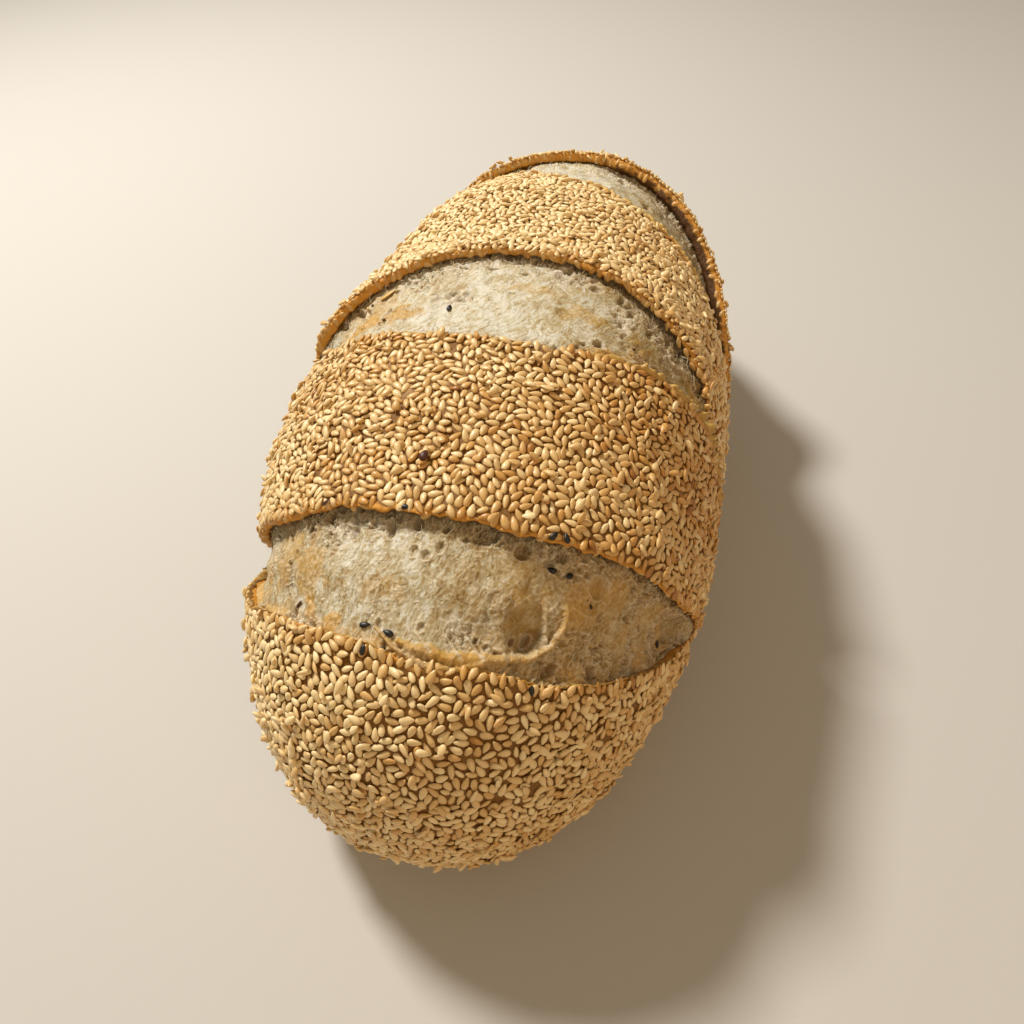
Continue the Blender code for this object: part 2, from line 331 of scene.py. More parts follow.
    def across(self, angle: Array) -> Array:
        """Distance over the crust from the crown at the middle of the loaf, positive towards +X."""
        table = np.linspace(-math.pi / 2.0, 1.5 * math.pi, 721)
        points = self.point(np.zeros(table.shape), table)
        length = np.concatenate([[0.0], np.cumsum(np.linalg.norm(np.diff(points, axis=0), axis=1))])
        crown = np.interp(math.pi / 2.0, table, length)
        return crown - np.interp(angle, table, length)

    def angle_at(self, x: float, y: float) -> float:
        """Angle of the place on the upper crust that stands over x, y."""
        table = np.linspace(0.0, math.pi, 361)
        points = self.point(np.full(table.shape, y), table)
        return float(np.interp(-x, -points[:, 0], table))


FORM = LoafForm()


def meridians(count: int, lowest: float) -> Array:
    """Angles of the lines that run along the loaf.

    Args:
        count: how many lines there are in a turn.
        lowest: degrees below the waist down to which they are evenly spaced over the crust.

    Returns:
        The angles in order; the few lines under the loaf are cut away with its foot.
    """
    spare = 12          # lines under the loaf
    low = math.radians(-lowest)
    high = math.pi - low
    table = np.linspace(low, high, 721)
    length = FORM.across(low) - FORM.across(table)
    even = np.interp(np.linspace(0.0, length[-1], count - spare), length, table)
    under = np.linspace(high, low + 2.0 * math.pi, spare + 2)[1:-1]
    return np.concatenate([even, under])


# ---- Meshes ----

def deselect_all() -> None:
    """Leaves nothing selected."""
    bpy.ops.object.select_all(action="DESELECT")


def add_values(thing: Object, name: str, values: Array) -> None:
    """Writes one number, or one place, for each vertex as an attribute of the mesh."""
    kind, field = ("FLOAT", "value") if values.ndim == 1 else ("FLOAT_VECTOR", "vector")
    layer = thing.data.attributes.new(name, kind, "POINT")
    layer.data.foreach_set(field, np.ascontiguousarray(values, np.float32).ravel())


def lay_over(name: str, surface: Array, poles: tuple[tuple, tuple], values: dict[str, Array],
             foot: float) -> Object:
    """A closed body: a UV sphere whose rings are laid over a surface, cut flat at its foot.

    Args:
        name: name of the piece.
        surface: places in millimetres, as [ring, meridian, xyz].
        poles: the two places that close the body.
        values: attributes, as [ring, meridian] or [ring, meridian, xyz].
        foot: height in millimetres at which the body is cut.

    Returns:
        The new object.
    """
    rings, segments = surface.shape[:2]
    deselect_all()
    bpy.ops.mesh.primitive_uv_sphere_add(segments=segments, ring_count=rings + 1, radius=1.0)
    thing = bpy.context.object
    thing.name = thing.data.name = name
    count = len(thing.data.vertices)
    sphere = np.zeros(count * 3, np.float32)
    thing.data.vertices.foreach_get("co", sphere)
    sphere = sphere.reshape(-1, 3).astype(float)
    ring = np.rint(np.arccos(np.clip(sphere[:, 2], -1.0, 1.0)) / math.pi * (rings + 1)).astype(int)
    turn = np.arctan2(sphere[:, 1], sphere[:, 0]) / (2.0 * math.pi)
    meridian = np.rint(turn * segments).astype(int) % segments
    inner = np.clip(ring - 1, 0, rings - 1)
    places = surface[inner, meridian]
    places[ring == 0] = poles[0]
    places[ring == rings + 1] = poles[1]
    thing.data.vertices.foreach_set("co", (places * MM).astype(np.float32).ravel())
    for label, numbers in values.items():
        add_values(thing, label, numbers[inner, meridian])
    bpy.ops.object.mode_set(mode="EDIT")
    bpy.ops.mesh.select_all(action="SELECT")
    bpy.ops.mesh.bisect(plane_co=(0.0, 0.0, foot * MM), plane_no=(0.0, 0.0, 1.0), use_fill=True,
                        clear_inner=True)
    bpy.ops.mesh.select_all(action="SELECT")
    bpy.ops.mesh.quads_convert_to_tris(quad_method="SHORTEST_DIAGONAL")
    bpy.ops.mesh.normals_make_consistent(inside=False)
    bpy.ops.object.mode_set(mode="OBJECT")
    bpy.ops.object.shade_smooth()
    return thing


def triangles_of(thing: Object) -> tuple[Array, Array]:
    """Corners of a mesh in millimetres as [vertex, xyz], and its triangles as [triangle, vertex]."""
    mesh = thing.data
    mesh.calc_loop_triangles()
    places = np.zeros(len(mesh.vertices) * 3, np.float32)
    mesh.vertices.foreach_get("co", places)
    faces = np.zeros(len(mesh.loop_triangles) * 3, np.int32)
    mesh.loop_triangles.foreach_get("vertices", faces)
    return places.reshape(-1, 3).astype(float) / MM, faces.reshape(-1, 3)


def from_triangles(name: str, places: Array, faces: Array, values: dict[str, Array]) -> Object:
    """A mesh object from triangles.

    Args:
        name: name of the piece.
        places: vertices in millimetres, as [vertex, xyz].
        faces: triangles, as [triangle, vertex].
        values: attributes for each vertex.

    Returns:
        The new object, shaded smooth.
    """
    mesh = bpy.data.meshes.new(name)
    mesh.vertices.add(len(places))
    mesh.vertices.foreach_set("co", (places * MM).astype(np.float32).ravel())
    mesh.loops.add(faces.size)
    mesh.loops.foreach_set("vertex_index", faces.astype(np.int32).ravel())
    mesh.polygons.add(len(faces))
    mesh.polygons.foreach_set("loop_start", np.arange(0, faces.size, 3, dtype=np.int32))
    mesh.update(calc_edges=True)
    thing = bpy.data.objects.new(name, mesh)
    bpy.context.scene.collection.objects.link(thing)
    for label, numbers in values.items():
        add_values(thing, label, numbers)
    mesh.shade_smooth()
    return thing


def joined(name: str, places: Array, faces: Array, values: dict[str, Array]) -> Object:
    """Many small shapes with the same triangles as one mesh.

    Args:
        name: name of the piece.
        places: each shape's vertices in millimetres, as [shape, vertex, xyz].
        faces: the triangles of one shape.
        values: one number for each shape, by attribute name.

    Returns:
        The joined object.
    """
    count, corners = places.shape[:2]
    offsets = np.arange(count)[:, None, None] * corners
    spread = {label: np.repeat(numbers, corners) for label, numbers in values.items()}
    return from_triangles(name, places.reshape(-1, 3), (faces[None] + offsets).reshape(-1, 3), spread)


def joined_copies(name: str, model: Model, turns: Array, spots: Array, values: dict[str, Array]) -> Object:
    """Many copies of one small shape as one mesh.

    Args:
        name: name of the piece.
        model: the shape.
        turns: each copy's size and turn, as [copy, 3, 3].
        spots: each copy's place, as [copy, xyz].
        values: one number for each copy, by attribute name.

    Returns:
        The joined object.
    """
    shape, faces = model
    return joined(name, np.einsum("nij,vj->nvi", turns, shape) + spots[:, None, :], faces, values)


def between_rings(count: int, sides: int, first: int = 0) -> list[tuple[int, int, int]]:
    """Triangles of a tube, between rings of corners that follow each other from a first corner."""
    found = []
    for step in range(count - 1):
        for side in range(sides):
            a = first + step * sides + side
            b = first + step * sides + (side + 1) % sides
            found += [(a, b, b + sides), (a, b + sides, a + sides)]
    return found


def joined_threads(name: str, paths: Array, widths: Array, values: dict[str, Array]) -> Object:
    """Many thin three-sided threads with pointed ends as one mesh.

    Args:
        name: name of the piece.
        paths: places in millimetres, as [thread, step, xyz]; the first and last are the points.
        widths: radius at each inner step, as [thread, step - 2].
        values: one number for each thread, by attribute name.

    Returns:
        The joined object.
    """
    count, steps = paths.shape[:2]
    sides = 3
    run = unit(np.gradient(paths, axis=1)[:, 1:-1], 1e-9)
    aside = unit(np.cross(run, np.array([0.31, 0.17, 0.93])), 1e-9)
    upward = np.cross(aside, run)
    turn = np.arange(sides) * 2.0 * math.pi / sides
    rings = (paths[:, 1:-1, None, :]
             + widths[:, :, None, None] * (np.cos(turn)[:, None] * aside[:, :, None, :]
                                           + np.sin(turn)[:, None] * upward[:, :, None, :]))
    places = np.concatenate([paths[:, :1], rings.reshape(count, -1, 3), paths[:, -1:]], axis=1)
    last = 1 + (steps - 3) * sides
    one = [(0, 1 + (side + 1) % sides, 1 + side) for side in range(sides)]
    one += between_rings(steps - 2, sides, 1)
    one += [(last + side, last + (side + 1) % sides, last + sides) for side in range(sides)]
    return joined(name, places, np.array(one), values)


def put_on(thing: Object, material: Material) -> Object:
    """Gives a piece its material and slot, and fixes it to the loaf, whose solid it replaces."""
    thing.data.materials.clear()
    thing.data.materials.append(material)
    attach(thing, BODY)
    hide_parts(CAD_NODE)
    log.info("%s: %d triangles", thing.name, sum(len(face.vertices) - 2 for face in thing.data.polygons))
    return thing


# ---- Finishes ----

def linear(colour: str) -> tuple[float, float, float, float]:
    """An sRGB hex colour turned linear."""
    parts = [int(colour[place:place + 2], 16) / 255.0 for place in (1, 3, 5)]
    return (*[part / 12.92 if part <= 0.04045 else ((part + 0.055) / 1.055) ** 2.4 for part in parts], 1.0)


def add_node(tree: NodeTree, kind: str, inputs: dict | None = None, out: int | str = 0,
             stops: tuple[tuple[float, str], ...] = (), **settings: object) -> NodeSocket:
    """Adds one shader node with its settings and links.

    Args:
        tree: the material's node tree.
        kind: the node's type.
        inputs: by the socket's name or number, its value or the output that feeds it.
        out: name or number of the output that is wanted.
        stops: places and colours of a colour ramp.
        settings: properties of the node.

    Returns:
        That output.
    """
    made = tree.nodes.new("ShaderNode" + kind)
    for label, value in settings.items():
        setattr(made, label, value)
    feed(made, inputs or {})
    if stops:
        elements = made.color_ramp.elements
        while len(elements) < len(stops):
            elements.new(0.5)
        for element, (place, colour) in zip(elements, stops):
            element.position, element.color = place, linear(colour)
    return made.outputs[out]


def feed(node: Node, inputs: dict) -> None:
    """Links each named socket of a node to an output, or sets it to a value."""
    for socket, value in inputs.items():
        if isinstance(value, NodeSocket):
            node.id_data.links.new(value, node.inputs[socket])
        else:
            node.inputs[socket].default_value = value


def weighed(tree: NodeTree, start: NodeSocket | float, *parts: tuple[NodeSocket, float]) -> NodeSocket:
    """A starting value with patterns added to it, each times its weight."""
    for pattern, weight in parts:
        start = add_node(tree, "Math", {0: pattern, 1: weight, 2: start}, operation="MULTIPLY_ADD")
    return start


def lumps(place: NodeSocket, size: float, detail: float = 3.0) -> dict:
    """Sockets of a noise with lumps of a size in millimetres, on coordinates in millimetres."""
    return {"Vector": place, "Scale": 1.0 / size, "Detail": detail, "Roughness": 0.6}


def start_material(name: str, roughness: float, specular: float, glow: float = 0.0,
                   glow_depth: float = 0.0) -> tuple:
    """A new node material.

    Args:
        name: what the real material is.
        roughness: of the surface.
        specular: strength of the plain reflection.
        glow: how much of the light goes a little way in and comes out warm, as in bread.
        glow_depth: how far it goes in, in millimetres.

    Returns:
        The material, its tree, its shader and the object coordinates in millimetres.
    """
    material = bpy.data.materials.new(name)
    material.use_nodes = True
    tree = material.node_tree
    shader = tree.nodes["Principled BSDF"]
    feed(shader, {"Roughness": roughness, "Specular IOR Level": specular})
    if glow:
        feed(shader, {"Subsurface Weight": glow, "Subsurface Scale": glow_depth * MM,
                      "Subsurface Radius": (1.0, 0.65, 0.35)})
    place = add_node(tree, "TexCoord", out="Object")
    in_mm = add_node(tree, "VectorMath", {0: place, 1: (1.0 / MM,) * 3}, operation="MULTIPLY")
    return material, tree, shader, in_mm


@dataclass(frozen=True)
class CrustFinish:
    """Baked sourdough crust: dry, matt and golden, turned amber where it lifted and browned."""

    floury: str = "#b79263"
    golden: str = "#7d5722"
    amber: str = "#d0953c"
    # Darkest crust, inside the lips towards +X: scorched, and painted shade.
    dark: str = "#553612"
    roughness: float = 0.62
    relief: float = 0.24        # millimetres

    def material(self) -> Material:
        """Golden brown between the seeds, with floury spots, and amber at the lips, blistered and grainy."""
        material, tree, shader, place = start_material("baked sourdough crust", self.roughness, 0.35)
        toast = add_node(tree, "Attribute", out="Fac", attribute_name="toast")
        patches = add_node(tree, "TexNoise", lumps(place, 2.6))
        grain = add_node(tree, "TexNoise", lumps(place, 0.45, 4.0))
        blisters = add_node(tree, "TexNoise", lumps(place, 1.3, 2.0))
        level = weighed(tree, -0.42, (patches, 0.6), (grain, 0.25), (toast, 1.0))
        colour = add_node(tree, "ValToRGB", {"Fac": level}, stops=(
            (0.0, self.floury), (0.16, self.golden), (0.45, self.golden), (0.66, self.amber),
            (0.78, self.amber), (1.0, self.dark)))
        height = weighed(tree, grain, (blisters, 2.0))
        relief = add_node(tree, "Bump", {"Height": height, "Distance": self.relief * MM})
        feed(shader, {"Base Color": colour, "Normal": relief})
        return material


@dataclass(frozen=True)
class CrumbFinish:
    """Torn open crumb: matt cream bread, its raised fibres toasted tan, painted shade in its bubbles."""

    cream: str = "#cdcab9"
    straw: str = "#b5aa88"
    tan: str = "#987e46"
    brown: str = "#745420"
    # Painted shade: in the fine bubbles, the hollows and under the lip.
    pit_shade: str = "#684a26"
    web: str = "#dfd5bd"
    # Painted shade: the pinholes.
    pinhole_shade: str = "#4b3517"
    golden: str = "#c0984a"
    roughness: float = 0.5
    softness: float = 0.25
    relief: float = 0.2         # millimetres
    swirl: float = 5.0          # how far, in millimetres, slow swirls bend the grain of the dough
    bubbles: tuple[float, float] = (1.5, 0.75)      # sizes in millimetres of the two nets of fine bubbles

    def material(self) -> Material:
        """Cream to tan by how toasted each place is, pale on the webs of its bubbles and darkened in them
        with painted shade.

        Fine pale flecks are painted highlights on the lit ends of torn fibres, and a few pinholes, dark with
        painted shade, keep the felt from looking even.
        """
        material, tree, shader, _ = start_material("torn sourdough crumb", self.roughness, 0.4,
                                                   self.softness, 0.9)
        toast, hollow_shade, cellular, web, gold = (add_node(tree, "Attribute", out="Fac", attribute_name=name)
                                              for name in ("toast", "hollow_shade", "cellular", "web", "gold"))
        warped, combed = self.grain(tree)
        fibres = add_node(tree, "TexNoise", lumps(combed, 0.5, 4.0))
        speckle = add_node(tree, "TexNoise", lumps(warped, 0.8, 4.0))
        mottle = add_node(tree, "TexNoise", lumps(warped, 3.4, 2.0))
        streaks = add_node(tree, "TexNoise", lumps(combed, 1.1, 3.0))
        level = weighed(tree, toast, (speckle, 1.0), (mottle, 1.0), (streaks, 1.2), (fibres, -0.7))
        level = add_node(tree, "Math", {0: level, 1: 1.25}, operation="SUBTRACT")
        bread = add_node(tree, "ValToRGB", {"Fac": level}, stops=(
            (0.0, self.cream), (0.28, self.straw), (0.6, self.tan), (1.0, self.brown)))
        glaze = weighed(tree, 0.55, (speckle, 0.9))
        glaze = add_node(tree, "Math", {0: glaze, 1: gold}, operation="MULTIPLY", use_clamp=True)
        bread = self.mixed(tree, bread, self.golden, glaze)
        wall, deep = self.bubble_walls(tree, warped)
        wall = add_node(tree, "Math", {0: wall, 1: cellular}, operation="MULTIPLY")
        deep = add_node(tree, "Math", {0: deep, 1: cellular}, operation="MULTIPLY")
        # Painted shade: the deep parts of the fine bubbles, the hollows and the crumb under the lip turn to
        # the pit shade colour.
        shade = add_node(tree, "Math", {0: deep, 1: 0.4, 2: hollow_shade}, operation="MULTIPLY_ADD",
                         use_clamp=True)
        shaded = self.mixed(tree, bread, self.pit_shade, shade)
        # Painted highlights: pale flecks on the lit ends of torn fibres, where the crumb is untoasted.
        flecks = add_node(tree, "TexNoise", lumps(combed, 0.28, 2.0))
        flecks = add_node(tree, "MapRange", {"Value": flecks, "From Min": 0.56, "From Max": 0.70,
                                             "To Max": 0.4})
        baked = add_node(tree, "Math", {0: toast, 1: gold}, operation="MAXIMUM")
        untoasted = add_node(tree, "Math", {0: 0.9, 1: baked}, operation="SUBTRACT", use_clamp=True)
        flecks = add_node(tree, "Math", {0: flecks, 1: untoasted}, operation="MULTIPLY")
        light = weighed(tree, flecks, (wall, 0.3))
        light = add_node(tree, "Math", {0: light, 1: web}, operation="ADD", use_clamp=True)
        webbed = self.mixed(tree, shaded, self.web, light)
        # Pinholes: small dark dots of painted shade.
        holes = add_node(tree, "TexVoronoi", {"Vector": warped, "Scale": 0.55, "Randomness": 1.0})
        pinhole = add_node(tree, "MapRange", {"Value": holes, "From Min": 0.05, "From Max": 0.13,
                                              "To Min": 0.85, "To Max": 0.0})
        height = weighed(tree, fibres, (speckle, 1.2), (deep, -1.2), (wall, 0.5))
        relief = add_node(tree, "Bump", {"Height": height, "Distance": self.relief * MM})
        feed(shader, {"Base Color": self.mixed(tree, webbed, self.pinhole_shade, pinhole), "Normal": relief})
        return material

    def grain(self, tree: NodeTree) -> tuple[NodeSocket, NodeSocket]:
        """Coordinates bent as the dough was pulled, and the same drawn out four times along the pull."""
        pull = add_node(tree, "Attribute", out="Vector", attribute_name="pull")
        drift = add_node(tree, "TexNoise", {"Vector": pull, "Scale": 0.18, "Detail": 3.0}, out="Color")
        bend = (self.swirl, self.swirl, 0.0)
        swirl = add_node(tree, "VectorMath", {0: drift, 1: bend}, operation="MULTIPLY")
        warped = add_node(tree, "VectorMath", {0: pull, 1: swirl}, operation="ADD")
        combed = add_node(tree, "Mapping", {"Vector": warped, "Rotation": (0.0, 0.0, -0.5),
                                            "Scale": (1.0, 4.0, 1.0)}, vector_type="TEXTURE")
        return warped, combed

    def bubble_walls(self, tree: NodeTree, place: NodeSocket) -> tuple[NodeSocket, NodeSocket]:
        """Where the walls of the fine bubbles stand, and where the bubbles are deep, for relief and painted
        shade.
        """
        walls, inside = [], []
        for size in self.bubbles:
            away = add_node(tree, "TexVoronoi", {"Vector": place, "Scale": 1.0 / size, "Randomness": 1.0},
                            feature="DISTANCE_TO_EDGE")
            walls.append(add_node(tree, "MapRange", {"Value": away, "From Min": 0.02, "From Max": 0.14,
                                                     "To Min": 1.0, "To Max": 0.0}))
            inside.append(add_node(tree, "MapRange", {"Value": away, "From Min": 0.10, "From Max": 0.40}))
        return (add_node(tree, "Math", dict(enumerate(walls)), operation="MAXIMUM"),
                add_node(tree, "Math", dict(enumerate(inside)), operation="MULTIPLY"))

    def mixed(self, tree: NodeTree, under: NodeSocket, colour: str, share: NodeSocket) -> NodeSocket:
        """A colour laid over another one in a share that varies."""
        return add_node(tree, "Mix", {0: share, 6: under, 7: linear(colour)}, out=2, data_type="RGBA")


@dataclass(frozen=True)
class SeedFinish:
    """Hulled sesame baked on: a thin waxy skin, ivory where it stayed pale and tan where it toasted."""

    ivory: str = "#ead4a1"
    golden: str = "#d5b377"
    tan: str = "#c4934a"
    brown: str = "#965d22"
    roughness: float = 0.36

    def material(self) -> Material:
        """One colour for each seed, from its own tone, faintly mottled; the wax gives a soft highlight."""
        material, tree, shader, place = start_material("toasted sesame", self.roughness, 0.5, 0.12, 0.4)
        tone = add_node(tree, "Attribute", out="Fac", attribute_name="tone")
        mottle = add_node(tree, "TexNoise", lumps(place, 1.1, 2.0))
        level = weighed(tree, -0.11, (mottle, 0.22), (tone, 1.0))
        colour = add_node(tree, "ValToRGB", {"Fac": level}, stops=(
            (0.0, self.ivory), (0.4, self.golden), (0.75, self.tan), (1.0, self.brown)))
        pores = add_node(tree, "TexNoise", lumps(place, 0.3, 2.0))
        feed(shader, {"Base Color": colour,
                      "Normal": add_node(tree, "Bump", {"Height": pores, "Distance": 0.03 * MM})})
        return material


@dataclass(frozen=True)
class DarkSeedFinish:
    """Black sesame and charred grain: nearly black with a dull shine."""

    name: str
    colour: str
    roughness: float = 0.4

    def material(self) -> Material:
        """Near black, its skin wrinkled so that the highlight breaks up."""
        material, tree, shader, place = start_material(self.name, self.roughness, 0.5)
        wrinkles = add_node(tree, "TexNoise", lumps(place, 0.35, 3.0))
        feed(shader, {"Base Color": linear(self.colour),
                      "Normal": add_node(tree, "Bump", {"Height": wrinkles, "Distance": 0.08 * MM})})
        return material


@dataclass(frozen=True)
class GlutenFinish:
    """Dried gluten strands pulled across the tear: smooth, slightly glossy, honey to cream."""

    name: str
    light: str
    deep: str
    roughness: float = 0.45

    def material(self) -> Material:
        """Light and deep along each strand, with a soft gloss."""
        material, tree, shader, place = start_material(self.name, self.roughness, 0.5, 0.2, 0.6)
        tone = add_node(tree, "Attribute", out="Fac", attribute_name="tone")
        patches = add_node(tree, "TexNoise", lumps(place, 2.0))
        level = weighed(tree, -0.5, (patches, 1.0), (tone, 1.0))
        feed(shader, {"Base Color": add_node(tree, "ValToRGB", {"Fac": level},
                                             stops=((0.0, self.light), (1.0, self.deep)))})
        return material


@dataclass(frozen=True)
class FloorFinish:
    """A plain pale table."""

    colour: str = "#bfbeb9"
    roughness: float = 0.8

    def material(self) -> Material:
        """Plain and matt."""
        material, _, shader, _ = start_material("pale matt floor", self.roughness, 0.2)
        feed(shader, {"Base Color": linear(self.colour)})
        return material


# ---- Crust ----

@dataclass(frozen=True)
class CrustBand:
    """One seeded band of crust, from a lip or the near end to the next rim or the far end."""

    name: str
    near: int | None            # number of the score whose lip is its near side
    far: int | None             # number of the score whose rim is its far side
    segments: int = 420
    step: float = 1.25          # spacing of the rings between the two edges
    lowest: float = 40.0
    foot: float = 0.7
    edge_jag: float = 0.5
    lip_margin: float = 1.3     # nearest that a seed's middle comes to the lip's line
    rim_margin: float = 0.5
    edge_gap: float = 2.0       # least distance between the seeds fused into the lifted edge
    edge_sink: float = -0.34    # height of their middles above the edge
    # From this side on, the inside of the lip is darker: partly scorched, partly painted shade.
    scorch_and_shade_from: float = 0.0    # side, from -1 at -X to 1 at +X, where the inside of the lip turns dark
    toast: float = 0.24
    tone: float = 0.24          # mean of its seeds' tones
    bare_share: float = 0.004   # share of its seeds that have fallen off
    floury: tuple[tuple[float, float, float], ...] = () # x, y and size of places dusted with flour

    FUSED_DEPTH = 1.8           # down to which seeds are fused into the lifted edge
    BARE_TOAST = 0.66           # toast from which the crust is bare

    # Lip: reach beyond its line, depth below its top in flaps and in millimetres, share of the rise,
    # toast. Rim: reach before its line, height, toast.
    LIP_SIDE = ((8.0, 1.0, 13.0, 1.0, 0.9), (5.0, 1.0, 5.0, 1.0, 0.9), (3.2, 1.0, 1.2, 1.0, 0.9),
                (2.2, 1.0, 0.4, 1.0, 0.9), (1.5, 1.0, 0.15, 1.0, 0.88), (0.95, 1.0, 0.05, 1.0, 0.86),
                (0.5, 0.98, 0.0, 1.0, 0.83), (0.2, 0.88, 0.0, 1.0, 0.8), (0.06, 0.74, 0.0, 1.0, 0.77),
                (0.0, 0.58, 0.0, 1.0, 0.75), (0.0, 0.42, 0.0, 1.0, 0.73), (0.05, 0.27, 0.0, 1.0, 0.71),
                (0.16, 0.14, 0.0, 1.0, 0.69), (0.34, 0.05, 0.0, 1.0, 0.65), (0.6, 0.01, 0.0, 1.0, 0.60),
                (0.9, 0.0, 0.0, 1.0, 0.54), (1.4, 0.0, 0.0, 1.0, 0.47), (2.0, 0.0, 0.0, 0.98, 0.40),
                (2.8, 0.0, 0.0, 0.95, 0.33), (3.8, 0.0, 0.0, 0.91, 0.28))
    RIM_SIDE = ((2.6, 0.0, 0.26), (1.7, 0.04, 0.34), (1.0, 0.1, 0.42), (0.5, 0.12, 0.5), (0.15, 0.0, 0.56),
                (0.0, -0.3, 0.7), (0.05, -0.8, 0.7), (0.3, -1.4, 0.7), (1.2, -2.6, 0.7), (3.0, -5.0, 0.7),
                (6.0, -12.0, 0.7))

    def lip_side(self, angle: Array) -> list[tuple]:
        """Rings from inside the loaf round the lip, as (y, height, toast, fused)."""
        score = FORM.scores[self.near]
        _, lip, openness = FORM.opening(score, angle)
        rise = FORM.lip_rise(score, angle, openness)
        across = FORM.across(angle)
        jag = self.edge_jag * (ripple(across, 3.3, 31) + 0.6 * ripple(across, 1.2, 32))
        flap = FORM.flap(score, angle) * openness
        # The inside of the lip darkens towards +X: partly scorched, partly painted shade.
        scorched = smooth_step(self.scorch_and_shade_from, self.scorch_and_shade_from + 0.8, np.cos(angle))
        rings = []
        for reach, flaps, depth, lifted, toast in self.LIP_SIDE:
            y = lip + reach * FORM.spread(openness) + jag * math.exp(-reach / 2.0)
            shade = toast + 0.32 * scorched * smooth_step(0.15, 0.6, np.array(flaps))
            fused = (0.03 <= flaps < 0.9) & (flaps * flap < self.FUSED_DEPTH)
            rings.append((y, lifted * rise - flaps * flap - depth * openness, shade, 0.5 * fused))
        return rings

    def rim_side(self, angle: Array) -> list[tuple]:
        """Rings round the broken rim down into the loaf, as (y, height, toast, fused)."""
        score = FORM.scores[self.far]
        rim, _, openness = FORM.opening(score, angle)
        across = FORM.across(angle)
        jag = self.edge_jag * (ripple(across, 2.6, 41) + 0.8 * ripple(across, 0.9, 42))
        rings = []
        for reach, height, toast in self.RIM_SIDE:
            y = rim - reach * FORM.spread(openness) + jag * math.exp(-reach / 1.5)
            rings.append((y, height * openness, toast + 0.0 * y, 0.0 * y))
        return rings

    def rings(self, angle: Array) -> list[tuple]:
        """Every ring of the band in order, as (y, height, toast, fused)."""
        half = FORM.length / 2.0
        near = self.lip_side(angle) if self.near is not None else []
        far = self.rim_side(angle) if self.far is not None else []
        start = near[-1][0] if near else np.full(angle.shape, -half)
        end = far[0][0] if far else np.full(angle.shape, half)
        count = int(max(8, np.mean(end - start) / self.step))
        if near:
            score = FORM.scores[self.near]
            _, lip, openness = FORM.opening(score, angle)
            rise = FORM.lip_rise(score, angle, openness)
        between = []
        for number in range(1, count + 1):
            share = number / (count + 1.0)
            if not near:
                share = 1.0 - math.cos(share * math.pi / 2.0)
            if not far:
                share = math.sin(share * math.pi / 2.0)
            y = start + (end - start) * share
            height, toast = np.zeros(angle.shape), np.full(angle.shape, self.toast)
            if near:
                reach = (y - lip) / FORM.spread(openness)
                height = rise * np.interp(reach, (0.9, 4.0, 10.0, 17.0), (1.0, 0.9, 0.4, 0.0))
                toast = toast + 0.14 * np.exp(-reach / 6.0)
            between.append((y, height, toast, 0.0 * y))
        return near + between + far

    def bumps(self, base: Array, across: Array, height: Array, toast: Array) -> Array:
        """Height in millimetres of the crust's fine unevenness.

        Args:
            base: places on the smooth loaf.
            across: distance over the crust from the crown.
            height: height above the smooth loaf; deep inside it the crust is smooth.
            toast: how browned each place is, because the browned ones are blistered.

        Returns:
            One height for each place.
        """
        x, y, z = base.T
        bump = (0.16 * noise(x / 3.7 + z / 5.1, y / 3.9 + 7.0, 51)
                + 0.10 * noise(x / 1.5 - z / 1.9, y / 1.6, 52))
        blister = (0.30 * noise(across / 1.7, y / 1.3 + height / 1.3, 53)
                   + 0.20 * noise(across / 0.9, y + height / 0.9, 54)) * smooth_step(0.45, 0.7, toast)
        return (bump + blister) * np.clip(1.2 + height / 6.0, 0.0, 1.0)

    def build(self, material: Material) -> Object:
        """Models the band as one closed body and dresses it."""
        capped = self.near is None or self.far is None
        angle = (np.arange(self.segments) * 2.0 * math.pi / self.segments - math.pi / 2.0 if capped
                 else meridians(self.segments, self.lowest))
        across = FORM.across(angle)
        surface, toasts, seeded = [], [], []
        for y, height, toast, fused in self.rings(angle):
            base = FORM.point(y, angle)
            lift = height + FORM.swell(y, angle) + self.bumps(base, across, height, toast)
            surface.append(base + FORM.normal(y, angle) * lift[:, None])
            seeded.append(np.where(toast < self.BARE_TOAST, 1.0, fused))
            for x0, y0, size in self.floury:
                toast = toast - 0.2 * np.exp(-((base[:, 0] - x0) ** 2 + (base[:, 1] - y0) ** 2) / size ** 2)
            # The crust is paler towards -X.
            toasts.append(toast - 0.12 * smooth_step(0.3, 0.95, -np.cos(angle)) * (toast < 0.6))
        half = FORM.length / 2.0
        near_pole = ((0.0, -half, FORM.waist) if self.near is None
                     else (0.0, float(np.mean(surface[0][:, 1])) + 4.0, FORM.waist + 10.0))
        far_pole = ((0.0, half, FORM.waist) if self.far is None
                    else (0.0, float(np.mean(surface[-1][:, 1])) - 4.0, FORM.waist + 10.0))
        values = {"toast": np.array(toasts), "seeded": np.array(seeded)}
        thing = lay_over("crust_" + self.name, np.array(surface), (near_pole, far_pole), values, self.foot)
        return put_on(thing, material)

    def reaches(self, places: Array) -> tuple[Array, Array]:
        """Distance along Y of places behind the band's lip and before its rim, large where it has none."""
        angle = FORM.angle_of(places)
        near = far = np.full(len(places), FAR_AWAY)
        if self.near is not None:
            near = places[:, 1] - FORM.opening(FORM.scores[self.near], angle)[1]
        if self.far is not None:
            far = FORM.opening(FORM.scores[self.far], angle)[0] - places[:, 1]
        return near, far

    def keep_inside(self, places: Array) -> Array:
        """Places along Y, moved back onto the band where they left it."""
        near, far = self.reaches(places)
        y = places[:, 1] + np.maximum(self.lip_margin - near, 0.0)
        return y - np.maximum(self.rim_margin - far, 0.0)


